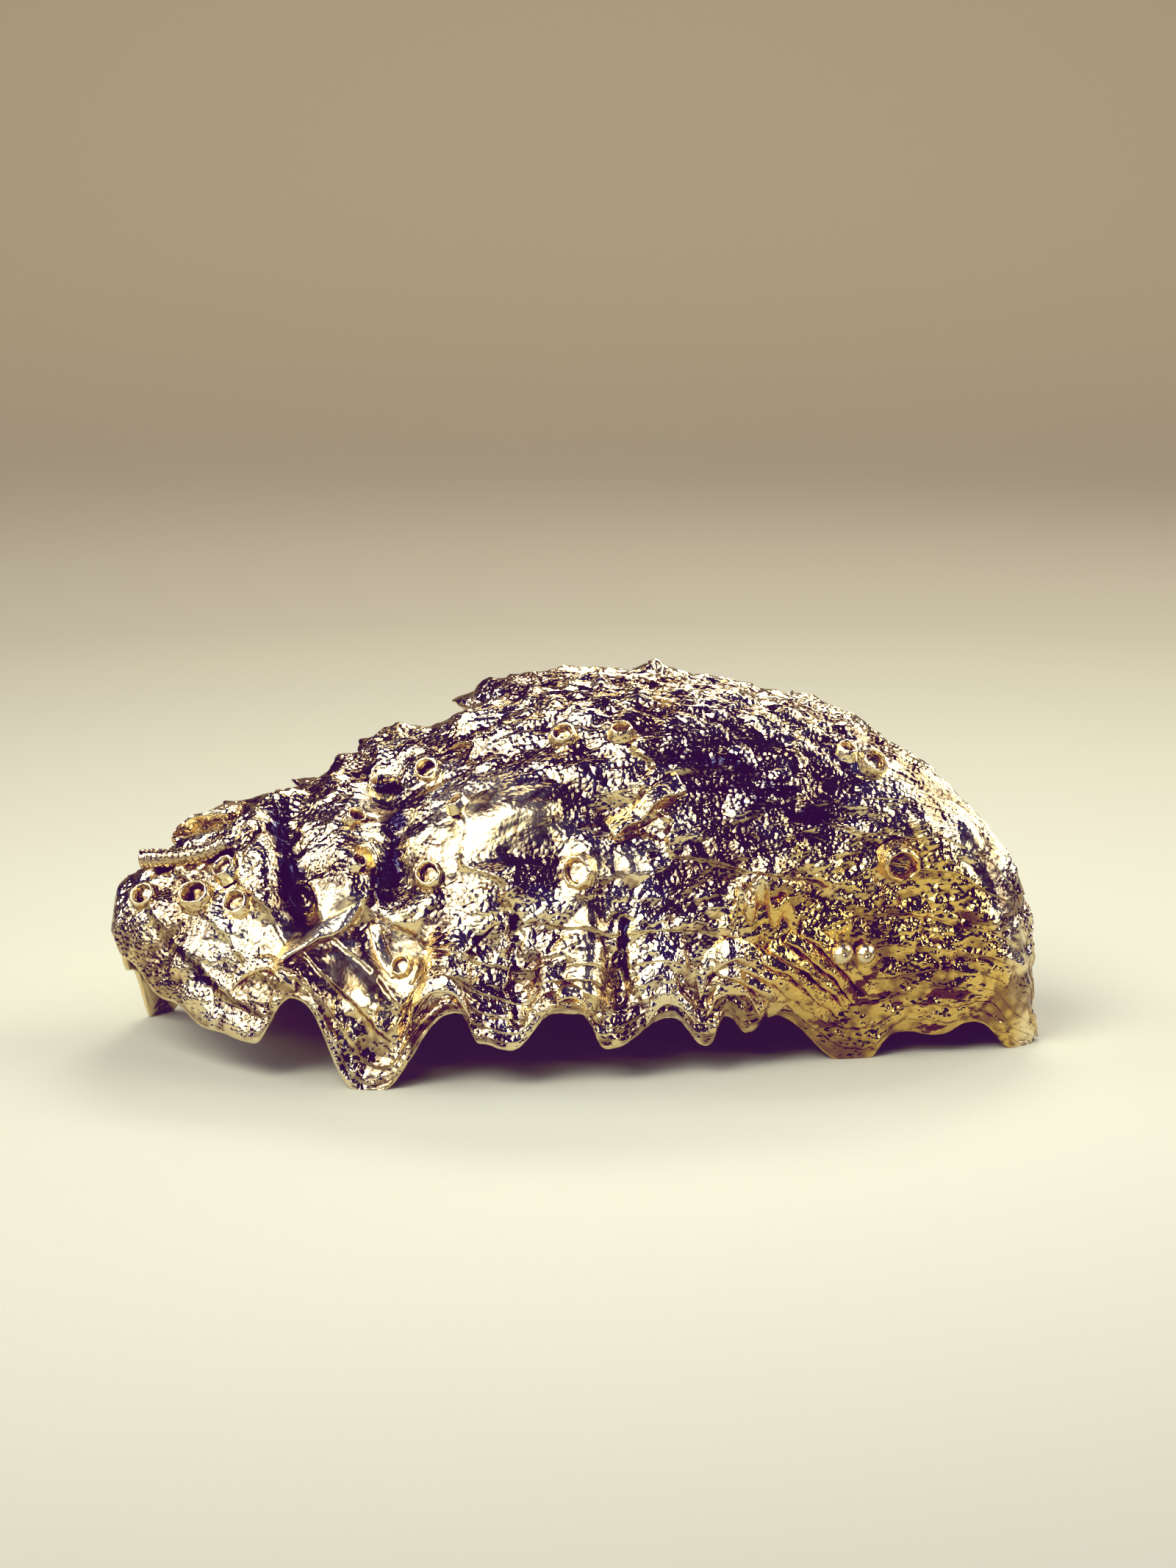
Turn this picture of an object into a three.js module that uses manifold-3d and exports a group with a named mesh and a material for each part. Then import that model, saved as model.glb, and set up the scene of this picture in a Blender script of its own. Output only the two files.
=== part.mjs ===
// The cupped valve of an oyster, gilded all over, lying on a table with its hollow side down.
// Millimetres. +X points at the beak, -X at the bill, -Y is the fluted side and +Z is up.
// The shell is one solid: a domed wall with a fluted rim, growth ledges, barnacles and a worm tube.
import * as THREE from 'three';
import { mergeVertices } from 'three/addons/utils/BufferGeometryUtils.js';
import Module from 'manifold-3d';

const wasm = await Module();
wasm.setup();

// Driving dimensions. Every other length is given for a 120 mm shell and scales with it.
const shellLength = 120;
const halfSpan = 60;
const umbo = { x: 57.6, y: -3 }; // where growth began, just inside the beak: all growth rays start here
const crown = { x: 12, y: 3.5 }; // the middle of the hollow, which the rim faces away from
const lineOfSight = THREE.MathUtils.degToRad(12); // features are placed as seen from 12 degrees above the table

// Mesh density
const columns = 94; // round the rim, with fewer towards the umbo
const rowSpacing = 0.055; // as a share of the way from umbo to rim
const innerRows = 7;

// The shell every 15 degrees of the half turn from beak to bill, where x is halfSpan times the cosine.
// crest is the height of the ridge. near and far give the rim on the two sides as
// [y, z, how far the foot is drawn in under the bulge of the side, squareness of the cross-section].
// A squareness of 2 is an ellipse.
// roll is how much more closely the growth lines lie near the rim than near the umbo.
const stations = [
  { crest: 0.5, near: [-3, 0.5, 1, 2.3], far: [-3, 0.5, 1, 2.3], roll: 2.2 }, // beak
  { crest: 18.2, near: [-7, 2.5, 1, 2.3], far: [4, 1, 1, 2.5], roll: 2.2 },
  { crest: 28.4, near: [-10.5, 3, 2.5, 2.3], far: [11, 1.5, 1, 2.5], roll: 2.2 },
  { crest: 36.9, near: [-13, 2.5, 3.5, 2.3], far: [18, 2, 1, 2.5], roll: 2.2 },
  { crest: 43, near: [-16, 4.5, 3, 2.2], far: [24, 2, 0.5, 2.5], roll: 2.2 },
  { crest: 45.8, near: [-20.5, 4.5, 1.5, 2], far: [28, 2, 0, 2.5], roll: 2.2 },
  { crest: 46.2, near: [-23.5, 5, 0, 1.8], far: [30, 2, 0, 2.5], roll: 2.2 },
  { crest: 40.4, near: [-25.5, 5.5, -1, 1.65], far: [30.5, 2, 0, 2.5], roll: 2.1 },
  { crest: 33.4, near: [-24.8, 4.5, -1.5, 1.6], far: [27.5, 1.5, 0, 2.5], roll: 1.8 },
  { crest: 29.8, near: [-20, 5.4, -1, 1.65], far: [21, 1.5, -0.5, 2.5], roll: 1.5 },
  { crest: 24.5, near: [-14, 8.6, 0, 1.8], far: [13, 2.5, -0.5, 2.5], roll: 1.3 },
  { crest: 20, near: [-8.5, 13, 0, 2], far: [6, 7, 0, 2.4], roll: 1.15 },
  { crest: 15, near: [-3, 15, 0, 2.2], far: [-3, 15, 0, 2.2], roll: 1.15 }, // bill
];
const drawnInBelow = 15;

// Heights of the rim's tongues and arches above the table, and how far each leans out.
const nearFolds = [
  { x: -60, z: 15, out: 0 },
  { x: -58, z: 12.6, out: 0 },
  { x: -52, z: 8.4, out: 0 },
  { x: -45, z: 5.9, out: 0.3 },
  { x: -38.3, z: 5.3, out: 1 },
  { x: -35, z: 11.2, out: -1 },
  { x: -23.8, z: -0.4, out: 1.2 }, // the main tongue, which the shell stands on
  { x: -15.2, z: 9.7, out: -1.4 },
  { x: -10.6, z: 6.2, out: 0.8 },
  { x: -6.4, z: 5.4, out: 1 },
  { x: -2.4, z: 9.4, out: -1 },
  { x: 0.4, z: 9.2, out: -1 },
  { x: 4.5, z: 4.9, out: 1 },
  { x: 11.6, z: 7.8, out: -1 },
  { x: 16.3, z: 4.3, out: 1 },
  { x: 19.2, z: 7.3, out: -0.8 },
  { x: 21.6, z: 5.2, out: 0.4 },
  { x: 26, z: 6.4, out: -0.8 },
  { x: 38.2, z: -0.5, out: 0.8 }, // the hinge foot
  { x: 45.2, z: 3.3, out: -0.3 },
  { x: 49, z: 2.8, out: 0 },
  { x: 53, z: 4.2, out: -0.2 },
  { x: 58.6, z: -0.5, out: 0 }, // the beak
];
const farFolds = [
  { x: -60, z: 15, out: 0 },
  { x: -59, z: 8, out: 0 },
  { x: -55.5, z: -0.5, out: 0.5 },
  { x: -50, z: 3.6, out: -0.6 },
  { x: -43, z: -0.4, out: 1 },
  { x: -34, z: 5, out: -1.2 },
  { x: -27, z: 1.2, out: 1 },
  { x: -20.5, z: 4.2, out: -1 },
  { x: -11, z: -0.4, out: 1.2 },
  { x: -2, z: 5.4, out: -1.2 },
  { x: 5, z: 1.6, out: 0.8 },
  { x: 11.5, z: 3.8, out: -0.8 },
  { x: 20, z: 0.2, out: 0.9 },
  { x: 29.5, z: 3.4, out: -0.6 },
  { x: 38, z: -0.5, out: 0.5 },
  { x: 47, z: 2.4, out: 0 },
  { x: 58.6, z: -0.5, out: 0 },
];
const foldReach = 9; // how far up the side a flute is still felt
const foldRoundness = 0.5; // 0 is a plain wave, 1 has flat tops and steep sides
const ripple = 1.6; // how far the ridge above an arch stands out

// Growth ledges, as a share of the way from umbo to rim, with the height of each step on the four sides.
const ledges = [
  { at: 0.21, bill: 0.4, beak: 0.1, near: 0.2, far: 0.4 },
  { at: 0.363, bill: 0.6, beak: 0.1, near: 0.3, far: 0.6 },
  { at: 0.566, bill: 1.5, beak: 0.2, near: 0.4, far: 0.8 },
  { at: 0.685, bill: 1.7, beak: 0.3, near: 0.5, far: 0.9 },
  { at: 0.775, bill: 1.5, beak: 0.3, near: 0.5, far: 1 },
  { at: 0.84, bill: 1, beak: 0.4, near: 0.6, far: 1.1 },
  { at: 0.904, bill: 2.8, beak: 0.4, near: 1, far: 1.2 },
  { at: 0.959, bill: 0.9, beak: 0.5, near: 0.9, far: 0.9 },
];
const rimLedges = 0.88; // from here on the ledges fade out on the tongues
const undercut = 0.5; // how far each ledge overhangs its step

// Wall thickness
const rimWall = 1.1;
const crownWall = 4.2;

// Everything below is placed as seen from its own side: x along the shell, up across the line of sight.
const lumps = [
  { x: 9.9, up: 46.5, radius: 2.2, height: 1.8 }, // knob on the crest
  { x: -8.5, up: 45, radius: 5.5, height: 2.1 },
  { x: -24.5, up: 40, radius: 4.5, height: 1.6 }, // shoulder
  { x: -19, up: 34.5, radius: 5, height: -1.6 }, // scoop below the shoulder
  { x: -11, up: 27, radius: 7.5, height: 1.3 },
  { x: 3, up: 28.5, radius: 3.4, height: -1.6 }, // notch
  { x: 24, up: 20.5, radius: 3.2, height: 1.3 },
  { x: 34.5, up: 11.5, radius: 5.5, height: 1.2 }, // mound under the two pearls
  { x: 44, up: 17, radius: 7, height: -0.9 },
  { x: -13, up: 13, radius: 3, height: -1.3 },
  { x: -24, up: 3, radius: 4.5, height: 1.6 }, // the main tongue slopes outwards
  { x: -26.5, up: 12.5, radius: 4.5, height: -1.6 },
  { x: 14.5, up: 31, radius: 5, height: -1 },
  { x: -20, up: 26, radius: 6, height: 1.4, side: 'far' },
  { x: 14, up: 18, radius: 7, height: 1.2, side: 'far' },
  { x: 32, up: 28, radius: 8, height: -1, side: 'far' },
];

// Ribs and valleys that run down the side
const ribs = [
  { from: [2, 26], to: [1.5, 6], width: 2.2, height: 1.2 },
  { from: [-10, 20], to: [-15.5, 10], width: 2.4, height: 1.1 },
  { from: [-30.5, 34], to: [-28.5, 18], width: 2.4, height: 1.3 },
  { from: [-25.5, 34], to: [-23, 20], width: 2.6, height: -1.6 },
  { from: [-41, 27], to: [-38.5, 17], width: 2.6, height: 1.1 },
  { from: [-37.5, 28], to: [-34.5, 16], width: 2.3, height: -1.4 },
  { from: [44, 28], to: [56, 6], width: 2.4, height: 1 }, // rolled edge of the beak
  { from: [-34, 26], to: [-38, 8], width: 3, height: 1.2, side: 'far' },
  { from: [2, 34], to: [-2, 8], width: 3, height: 1.2, side: 'far' },
  { from: [30, 26], to: [38, 6], width: 3, height: 1, side: 'far' },
];

// Loose edges of old growth layers. Each follows its path, stands up by lift and is free on the side it faces.
const scales = [
  { path: [[-37.5, 9.6], [-31.5, 13.2], [-26, 15.8], [-24.5, 10.5], [-21.6, 6.6]], faces: [-0.3, -1], lift: 1.8 },
  { path: [[15.2, 5.2], [17, 8.6], [20, 9.9], [23.2, 8.4], [24.8, 5.6]], faces: [0.1, -1], lift: 1 },
  { path: [[19, 16.6], [21.5, 15.4], [24, 16.4], [27.2, 15]], faces: [0, -1], lift: 1.2 },
  { path: [[-36, 28.6], [-33.6, 23.5], [-36.6, 16.6]], faces: [-1, -0.2], lift: 1.4 },
  { path: [[-23, 34.5], [-23.5, 26], [-28, 17.5]], faces: [-1, -0.3], lift: 1.5 },
  { path: [[-9.5, 15.4], [-12, 13], [-14.8, 10.4]], faces: [0.6, -0.8], lift: 0.9 },
  { path: [[-51.8, 26.8], [-48, 27.8], [-44, 29.2]], faces: [-0.3, -1], lift: 2 },
  { path: [[-30, 22], [-22, 15], [-12, 19]], faces: [-0.2, -1], lift: 1.4, side: 'far' },
  { path: [[8, 27], [16, 22], [26, 24]], faces: [0, -1], lift: 1.3, side: 'far' },
];
const scaleLength = 4;
const scaleEdge = 0.6;

const barnacles = [
  { x: -55.2, up: 18.1, radius: 1.8, height: 0.9 },
  { x: -48.2, up: 18.1, radius: 2.3, height: 1.1 },
  { x: -42.6, up: 17.2, radius: 2.1, height: 1 },
  { x: -44.5, up: 21.4, radius: 1.9, height: 0.9 },
  { x: -34.8, up: 17.4, radius: 2.3, height: 1.2 },
  { x: -27.6, up: 22.4, radius: 1.3, height: 0.7 },
  { x: -24.7, up: 31.7, radius: 2.2, height: 1.2 },
  { x: -28.2, up: 27.9, radius: 1.5, height: 0.8 },
  { x: -18.9, up: 34.1, radius: 1.8, height: 0.9 },
  { x: -18.4, up: 20.9, radius: 2, height: 0.9 },
  { x: 0.2, up: 21.4, radius: 2.3, height: 1.1 },
  { x: -21.8, up: 9.6, radius: 1.5, height: 0.7 },
  { x: -23.8, up: 3.2, radius: 2.6, height: 0.9 },
  { x: 5.6, up: 38.8, radius: 1.6, height: 0.8 },
  { x: -1.7, up: 38.5, radius: 1.7, height: 0.8 },
  { x: 40.8, up: 22.4, radius: 2.7, height: 1.3 },
  { x: 37.5, up: 35, radius: 1.9, height: 1 },
  { x: 34.2, up: 36.4, radius: 1.5, height: 0.8 },
  { x: -14.9, up: 29.8, radius: 1.5, height: 0.8 },
  { x: -30, up: 14, radius: 2.3, height: 1.2, side: 'far' },
  { x: 24, up: 30, radius: 2.1, height: 1.1, side: 'far' },
  { x: 28.4, up: 27.8, radius: 1.7, height: 0.9, side: 'far' },
];
const pearls = [
  { x: 33, up: 11, radius: 1.1 },
  { x: 36.1, up: 11.1, radius: 1 },
];
const wormTube = { from: [-56.2, 21.6], to: [-44.6, 24], radius: 1.15, proud: 0.6 };

const bothSides = new THREE.MeshBasicMaterial({ side: THREE.DoubleSide }); // lets a ray meet either side

const clamp01 = (v) => Math.min(1, Math.max(0, v));
const smooth = (v) => clamp01(v) ** 2 * (3 - 2 * clamp01(v));
const mix = (a, b, t) => a + (b - a) * t;
const bell = (d, width) => Math.exp(-((d / width) ** 2));

// Smooth curve through values of the stations. Past the ends it carries on round the other side.
function between(value, side, place) {
  const last = stations.length - 1;
  const other = side === 'near' ? 'far' : 'near';
  const i = Math.min(last - 1, Math.floor(place));
  const f = place - i;
  const [a, b, c, d] = [-1, 0, 1, 2].map((step) => {
    const n = i + step;
    if (n < 0) return value(stations[-n], other);
    return n > last ? value(stations[2 * last - n], other) : value(stations[n], side);
  });
  return 0.5 * (2 * b + (c - a) * f + (2 * a - 5 * b + 4 * c - d) * f * f + (3 * b - a - 3 * c + d) * f * f * f);
}
const rimY = (side, place) => between((s, which) => s[which][0], side, place);
const rimZ = (side, place) => between((s, which) => s[which][1], side, place);
const drawnIn = (side, place) => between((s, which) => s[which][2], side, place);
const squareness = (side, place) => between((s, which) => s[which][3], side, place);
const crestZ = (place) => between((s) => s.crest, 'near', place);
const rollAt = (place) => between((s) => s.roll, 'near', place);
const placeAlong = (x) => (Math.acos(THREE.MathUtils.clamp(x / halfSpan, -1, 1)) / Math.PI) * (stations.length - 1);

// The ridge of the dome bows away from the straight line between beak and bill.
const crestY = (x) => mix(umbo.y, crown.y, 1 - (x / halfSpan) ** 2);

// Point of the plain dome above (x, y).
function domePoint(x, y) {
  const place = placeAlong(x);
  const side = y < crestY(x) ? 'near' : 'far';
  const across = clamp01((y - crestY(x)) / (rimY(side, place) - crestY(x)) || 0);
  const power = squareness(side, place);
  const share = (1 - across ** power) ** (1 / power);
  const rim = rimZ(side, place);
  return new THREE.Vector3(x, y, rim + (crestZ(place) - rim) * share);
}

// Height and lean of the fluted rim at a place along one side.
function foldAt(folds, x) {
  const next = folds.findIndex((f) => f.x > x);
  if (next === 0) return folds[0];
  if (next < 0) return folds[folds.length - 1];
  const [a, b] = [folds[next - 1], folds[next]];
  const wave = smooth((x - a.x) / (b.x - a.x));
  const t = mix(wave, smooth(wave), foldRoundness);
  return { z: mix(a.z, b.z, t), out: mix(a.out, b.out, t) };
}

// Where a growth ray ends. t runs 0 to 1 along the far side and 1 to 2 back along the near side.
function rayEnd(t) {
  const turn = ((t % 2) + 2) % 2;
  const side = turn < 1 ? 'far' : 'near';
  const place = (turn < 1 ? turn : 2 - turn) * (stations.length - 1);
  const x = halfSpan * Math.cos((place / (stations.length - 1)) * Math.PI);
  return { side, x, y: rimY(side, place), roll: rollAt(place) };
}

// The rim at x on one side, with the way it faces and its flute.
function rimAt(side, x) {
  const place = placeAlong(x);
  const rim = new THREE.Vector3(x, rimY(side, place), rimZ(side, place));
  const outward = new THREE.Vector3(rim.x - crown.x, rim.y - crown.y, 0).normalize();
  const fold = foldAt(side === 'far' ? farFolds : nearFolds, x);
  return { rim, outward, drawn: drawnIn(side, place), rise: fold.z - rim.z, lean: fold.out };
}

// Point of the smooth fluted body, at share q of the way from the centre of the rays to the rim.
// Flutes run straight up the side, and only at the two ends do they follow the ray.
function bodyPoint(t, q, centre = umbo) {
  const end = rayEnd(t);
  const reach = 1 - (1 - q) ** end.roll;
  const p = domePoint(mix(centre.x, end.x, reach), mix(centre.y, end.y, reach));
  const flute = rimAt(end.side, mix(end.x, p.x, 1 - (end.x / halfSpan) ** 4));
  const fromRim = p.distanceTo(flute.rim);
  const low = 1 - clamp01((p.z - flute.rim.z) / drawnInBelow);
  const ridge = THREE.MathUtils.clamp(flute.rise / 4, -1, 1) * ripple * bell(fromRim - 0.8 * foldReach, 0.6 * foldReach);
  const lean = flute.lean * bell(fromRim, 0.4 * foldReach);
  p.addScaledVector(flute.outward, lean + ridge - flute.drawn * low ** 2);
  p.z += flute.rise * bell(fromRim, foldReach);
  return p;
}

function bodyNormal(t, share, centre = umbo) {
  const [stepT, stepQ] = [0.004, 0.01];
  const q = Math.max(0.03, share);
  const along = bodyPoint(t, Math.min(1, q + stepQ), centre).sub(bodyPoint(t, q - stepQ, centre));
  const across = bodyPoint(t + stepT, q, centre).sub(bodyPoint(t - stepT, q, centre));
  return along.cross(across).normalize();
}

// Height of a ledge's step on this side of the shell. Near the rim it shows over the arches only.
function ledgeStep(ledge, t) {
  const end = rayEnd(t);
  const outward = new THREE.Vector2(end.x - crown.x, end.y - crown.y).normalize();
  const lengthwise = outward.x ** 2 * (outward.x < 0 ? ledge.bill : ledge.beak);
  const crosswise = outward.y ** 2 * (outward.y < 0 ? ledge.near : ledge.far);
  const { out } = foldAt(end.side === 'far' ? farFolds : nearFolds, end.x);
  const fade = ledge.at > rimLedges ? mix(0.25, 1, smooth(0.5 - 0.5 * out)) : 1;
  const uneven = 0.8 + 0.35 * Math.sin(t * 26 + ledge.at * 40) * Math.sin(t * 15 + ledge.at * 23);
  return (lengthwise + crosswise) * uneven * fade;
}

// The place of a mesh that is seen from one side at (x, up). Above the outline it is the outline itself.
function placeOn(mesh, x, up, side = 'near') {
  const away = side === 'far' ? -1 : 1;
  const sight = new THREE.Vector3(0, away * Math.cos(lineOfSight), -Math.sin(lineOfSight));
  const upward = new THREE.Vector3(0, away * Math.sin(lineOfSight), Math.cos(lineOfSight));
  let hit;
  for (let height = up; !hit; height -= 0.3) {
    const origin = new THREE.Vector3(x, 0, 0).addScaledVector(upward, height).addScaledVector(sight, -200);
    [hit] = new THREE.Raycaster(origin, sight).intersectObject(mesh);
  }
  const normal = hit.face.normal.clone();
  return { point: hit.point, normal: normal.dot(sight) > 0 ? normal.negate() : normal };
}

function distanceToPath(p, path) {
  const nearest = new THREE.Vector3();
  let best = Infinity;
  for (let i = 1; i < path.length; i++) {
    new THREE.Line3(path[i - 1], path[i]).closestPointToPoint(p, true, nearest);
    best = Math.min(best, nearest.distanceTo(p));
  }
  return best;
}

// Lumps and ribs are placed on the smooth body.
function placeRelief() {
  const body = new THREE.Mesh(shellGeometry((t, row) => bodyPoint(t, row.q)), bothSides);
  const placedLumps = lumps.map((l) => ({ ...l, centre: placeOn(body, l.x, l.up, l.side).point }));
  const placedRibs = ribs.map((r) => {
    const shares = [0, 0.25, 0.5, 0.75, 1];
    const path = shares.map((s) => placeOn(body, mix(r.from[0], r.to[0], s), mix(r.from[1], r.to[1], s), r.side).point);
    return { ...r, path };
  });
  return { placedLumps, placedRibs };
}

// Height of lumps and ribs above the smooth body
function reliefHeight({ placedLumps, placedRibs }, p) {
  let height = 0;
  for (const l of placedLumps) height += l.height * bell(p.distanceTo(l.centre), l.radius);
  for (const r of placedRibs) height += r.height * bell(distanceToPath(p, r.path), r.width);
  return height;
}

// Waves of the ledges along the side
const wander = (t, q) => 0.018 * Math.sin(Math.PI * q) * Math.sin(20 * t + 7 * q) * Math.sin(43 * t);

function outerPoint(t, row, relief) {
  const tucked = row.tuck ? row.q - (row.tuck * Math.min(1, ledgeStep(row.ledge, t))) / 50 : row.q;
  const q = clamp01(tucked + wander(t, row.q));
  const p = bodyPoint(t, q);
  const fade = smooth(p.distanceTo(bodyPoint(t, 1)) / 3);
  const height = (row.ledge ? ledgeStep(row.ledge, t) : 0) * row.lift + reliefHeight(relief, p) * fade;
  return p.addScaledVector(bodyNormal(t, q), height);
}

// The hollow's own rays run from the crown to the rim.
function innerPoint(t, q) {
  const wall = mix(crownWall, rimWall, q ** 2);
  return bodyPoint(t, q, crown).addScaledVector(bodyNormal(t, q, crown), -wall);
}

// Rows from umbo to rim. Each layer rises to its ledge, drops, and starts again a little under the overhang.
function growthRows() {
  const rows = [];
  let start = 0;
  for (const ledge of [...ledges, null]) {
    const end = ledge ? ledge.at : 1;
    const steps = Math.max(2, Math.round((end - start) / rowSpacing));
    for (let i = 1; i <= steps; i++) {
      rows.push({ q: mix(start, end, i / steps), ledge, lift: ledge ? (i / steps) ** 2 : 0, tuck: 0 });
    }
    if (ledge) rows.push({ q: end, ledge, lift: 0, tuck: undercut });
    start = end;
  }
  return rows;
}

// Columns spaced evenly along the fluted rim, closer together on the near side.
function columnPlaces() {
  const fine = 800;
  const lengths = [0];
  for (let i = 1; i <= fine; i++) {
    const t = (2 * i) / fine;
    const weight = t > 1 ? 1.8 : 1;
    lengths.push(lengths[i - 1] + bodyPoint(t - 2 / fine, 1).distanceTo(bodyPoint(t, 1)) * weight);
  }
  const places = [];
  let i = 0;
  for (let c = 0; c < columns; c++) {
    const want = (lengths[fine] * c) / columns;
    while (lengths[i + 1] < want) i++;
    places.push((2 * (i + (want - lengths[i]) / (lengths[i + 1] - lengths[i]))) / fine);
  }
  return places;
}

// Triangles between two rings of points, where one may have fewer points than the other.
function strip(upper, lower) {
  const index = [];
  const steps = Math.max(upper.length, lower.length);
  const pick = (ring, c) => ring[Math.floor((c * ring.length) / steps) % ring.length];
  for (let c = 0; c < steps; c++) {
    const [a, b, d, e] = [pick(upper, c), pick(upper, c + 1), pick(lower, c), pick(lower, c + 1)];
    if (d !== e) index.push(a, d, e);
    if (a !== b) index.push(a, e, b);
  }
  return index;
}

// Closed wall: outer rows from umbo to rim, then inner rows from rim to crown.
function shellGeometry(outerAt) {
  const places = columnPlaces();
  const points = [];
  const rings = [];
  const addRing = (turns, pointAt) => {
    rings.push(turns.map((t) => points.push(pointAt(t)) - 1));
  };
  const every = (step) => places.filter((t, c) => c % step === 0);
  addRing([1], () => bodyPoint(1, 0));
  for (const row of growthRows()) {
    const step = row.q < 0.2 ? 4 : row.q < 0.5 ? 2 : 1;
    addRing(every(step), (t) => outerAt(t, row));
  }
  for (let i = innerRows; i > 0; i--) {
    const q = (i / innerRows) ** 0.8;
    addRing(every(q > 0.85 ? 1 : 2), (t) => innerPoint(t, q));
  }
  addRing([1], () => innerPoint(1, 0));
  return indexed(points, rings.slice(1).flatMap((ring, i) => strip(rings[i], ring)));
}

function indexed(points, index) {
  const geometry = new THREE.BufferGeometry().setFromPoints(points);
  geometry.setIndex(index);
  return geometry;
}

// Turns a geometry built along +Y to stand on a place of the shell.
function standOn(geometry, place, proud) {
  const turn = new THREE.Quaternion().setFromUnitVectors(new THREE.Vector3(0, 1, 0), place.normal);
  const foot = place.point.clone().addScaledVector(place.normal, proud);
  return geometry.applyQuaternion(turn).translate(foot.x, foot.y, foot.z);
}

// A barnacle: a blunt cone with a crater.
function barnacleGeometry(shell, { x, up, side, radius: r, height: h }) {
  const profile = [[0, -1], [r, -1], [0.8 * r, h], [0.64 * r, h * 0.8], [0, 0.1]];
  const geometry = new THREE.LatheGeometry(profile.map(([a, b]) => new THREE.Vector2(a, b)), 8);
  return standOn(geometry, placeOn(shell, x, up, side), 0.2);
}

function pearlGeometry(shell, { x, up, radius }) {
  return standOn(new THREE.SphereGeometry(radius, 8, 6), placeOn(shell, x, up), 0.3);
}

function tubeGeometry(shell, { from, to, radius, proud }) {
  const [start, end] = [from, to].map(([x, up]) => {
    const place = placeOn(shell, x, up);
    return place.point.addScaledVector(place.normal, proud);
  });
  start.addScaledVector(start.clone().sub(end).normalize(), 0.5);
  const section = new THREE.Shape().absarc(0, 0, radius, 0, 2 * Math.PI);
  const path = new THREE.LineCurve3(start, end);
  return new THREE.ExtrudeGeometry(section, { extrudePath: path, steps: 1, curveSegments: 8 });
}

// Loose edge of a growth layer: a wedge that rises from the shell to a free edge.
function scaleGeometry(shell, { path, faces, lift, side }) {
  const curve = new THREE.SplineCurve(path.map(([x, up]) => new THREE.Vector2(x, up)));
  const facing = new THREE.Vector2(...faces).normalize();
  const cuts = Math.ceil(curve.getLength() / 2.2);
  const points = [];
  for (let i = 0; i <= cuts; i++) {
    const seen = curve.getPointAt(i / cuts);
    const edge = placeOn(shell, seen.x, seen.y, side);
    const root = placeOn(shell, seen.x - facing.x * scaleLength, seen.y - facing.y * scaleLength, side);
    const taper = Math.sin(Math.PI * mix(0.06, 0.94, i / cuts)) ** 0.6;
    const back = root.point.clone().sub(edge.point).normalize();
    points.push(root.point.clone().addScaledVector(root.normal, -0.4));
    points.push(edge.point.clone().addScaledVector(edge.normal, -1.2).addScaledVector(back, 0.6));
    points.push(edge.point.clone().addScaledVector(edge.normal, lift * taper - scaleEdge));
    points.push(edge.point.clone().addScaledVector(edge.normal, lift * taper));
  }
  const index = [0, 1, 2, 0, 2, 3];
  for (let i = 0; i < cuts; i++) {
    for (let s = 0; s < 4; s++) {
      const [a, b] = [4 * i + s, 4 * i + ((s + 1) % 4)];
      index.push(a, a + 4, b, b, a + 4, b + 4);
    }
  }
  const end = 4 * cuts;
  index.push(end, end + 2, end + 1, end, end + 3, end + 2);
  return indexed(points, index);
}

// A solid of positive volume, whichever way round its faces were listed.
function solid(geometry) {
  geometry.deleteAttribute('normal');
  geometry.deleteAttribute('uv');
  const merged = mergeVertices(geometry, 1e-4);
  const vertProperties = new Float32Array(merged.attributes.position.array);
  const triVerts = new Uint32Array(merged.index.array);
  const body = new wasm.Manifold(new wasm.Mesh({ numProp: 3, vertProperties, triVerts }));
  return body.volume() > 0 ? body : new wasm.Manifold(new wasm.Mesh({ numProp: 3, vertProperties, triVerts: triVerts.reverse() }));
}

function geometryOf(body) {
  const mesh = body.getMesh();
  const geometry = new THREE.BufferGeometry();
  geometry.setAttribute('position', new THREE.BufferAttribute(mesh.vertProperties, 3));
  geometry.setIndex(new THREE.BufferAttribute(mesh.triVerts, 1));
  return geometry;
}

// Leaves out the tiny pockets that are sealed between a piece and the shell it stands on.
function largestPiece(body) {
  const pieces = body.decompose();
  return pieces.reduce((best, piece) => (piece.volume() > best.volume() ? piece : best));
}

// Everything below the table is worn flat.
function tableCut() {
  const depth = 20;
  return solid(new THREE.BoxGeometry(4 * halfSpan, 4 * halfSpan, depth).translate(0, 0, -depth / 2));
}

function oysterShell() {
  const relief = placeRelief();
  const shell = new THREE.Mesh(shellGeometry((t, row) => outerPoint(t, row, relief)), bothSides);
  const grown = [
    ...scales.map((scale) => scaleGeometry(shell, scale)),
    ...barnacles.map((barnacle) => barnacleGeometry(shell, barnacle)),
    ...pearls.map((pearl) => pearlGeometry(shell, pearl)),
    tubeGeometry(shell, wormTube),
  ];
  let body = solid(shell.geometry);
  for (const piece of grown) body = body.add(solid(piece));
  body = largestPiece(body.subtract(tableCut()));
  const geometry = geometryOf(body);
  geometry.computeBoundingBox();
  const middle = geometry.boundingBox.getCenter(new THREE.Vector3());
  geometry.translate(-middle.x, -middle.y, 0); // the origin is the middle of the underside
  geometry.scale(shellLength / 120, shellLength / 120, shellLength / 120);
  geometry.computeVertexNormals();
  const gilding = new THREE.MeshStandardMaterial({ color: 0xd9bf7a, roughness: 0.15, metalness: 1 });
  const mesh = new THREE.Mesh(geometry, gilding);
  mesh.name = 'oyster_shell';
  return mesh;
}

const oyster = new THREE.Group();
oyster.add(oysterShell());

export default oyster;
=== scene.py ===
# A gilded oyster valve lying hollow side down on a pale studio table.
import math

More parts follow.
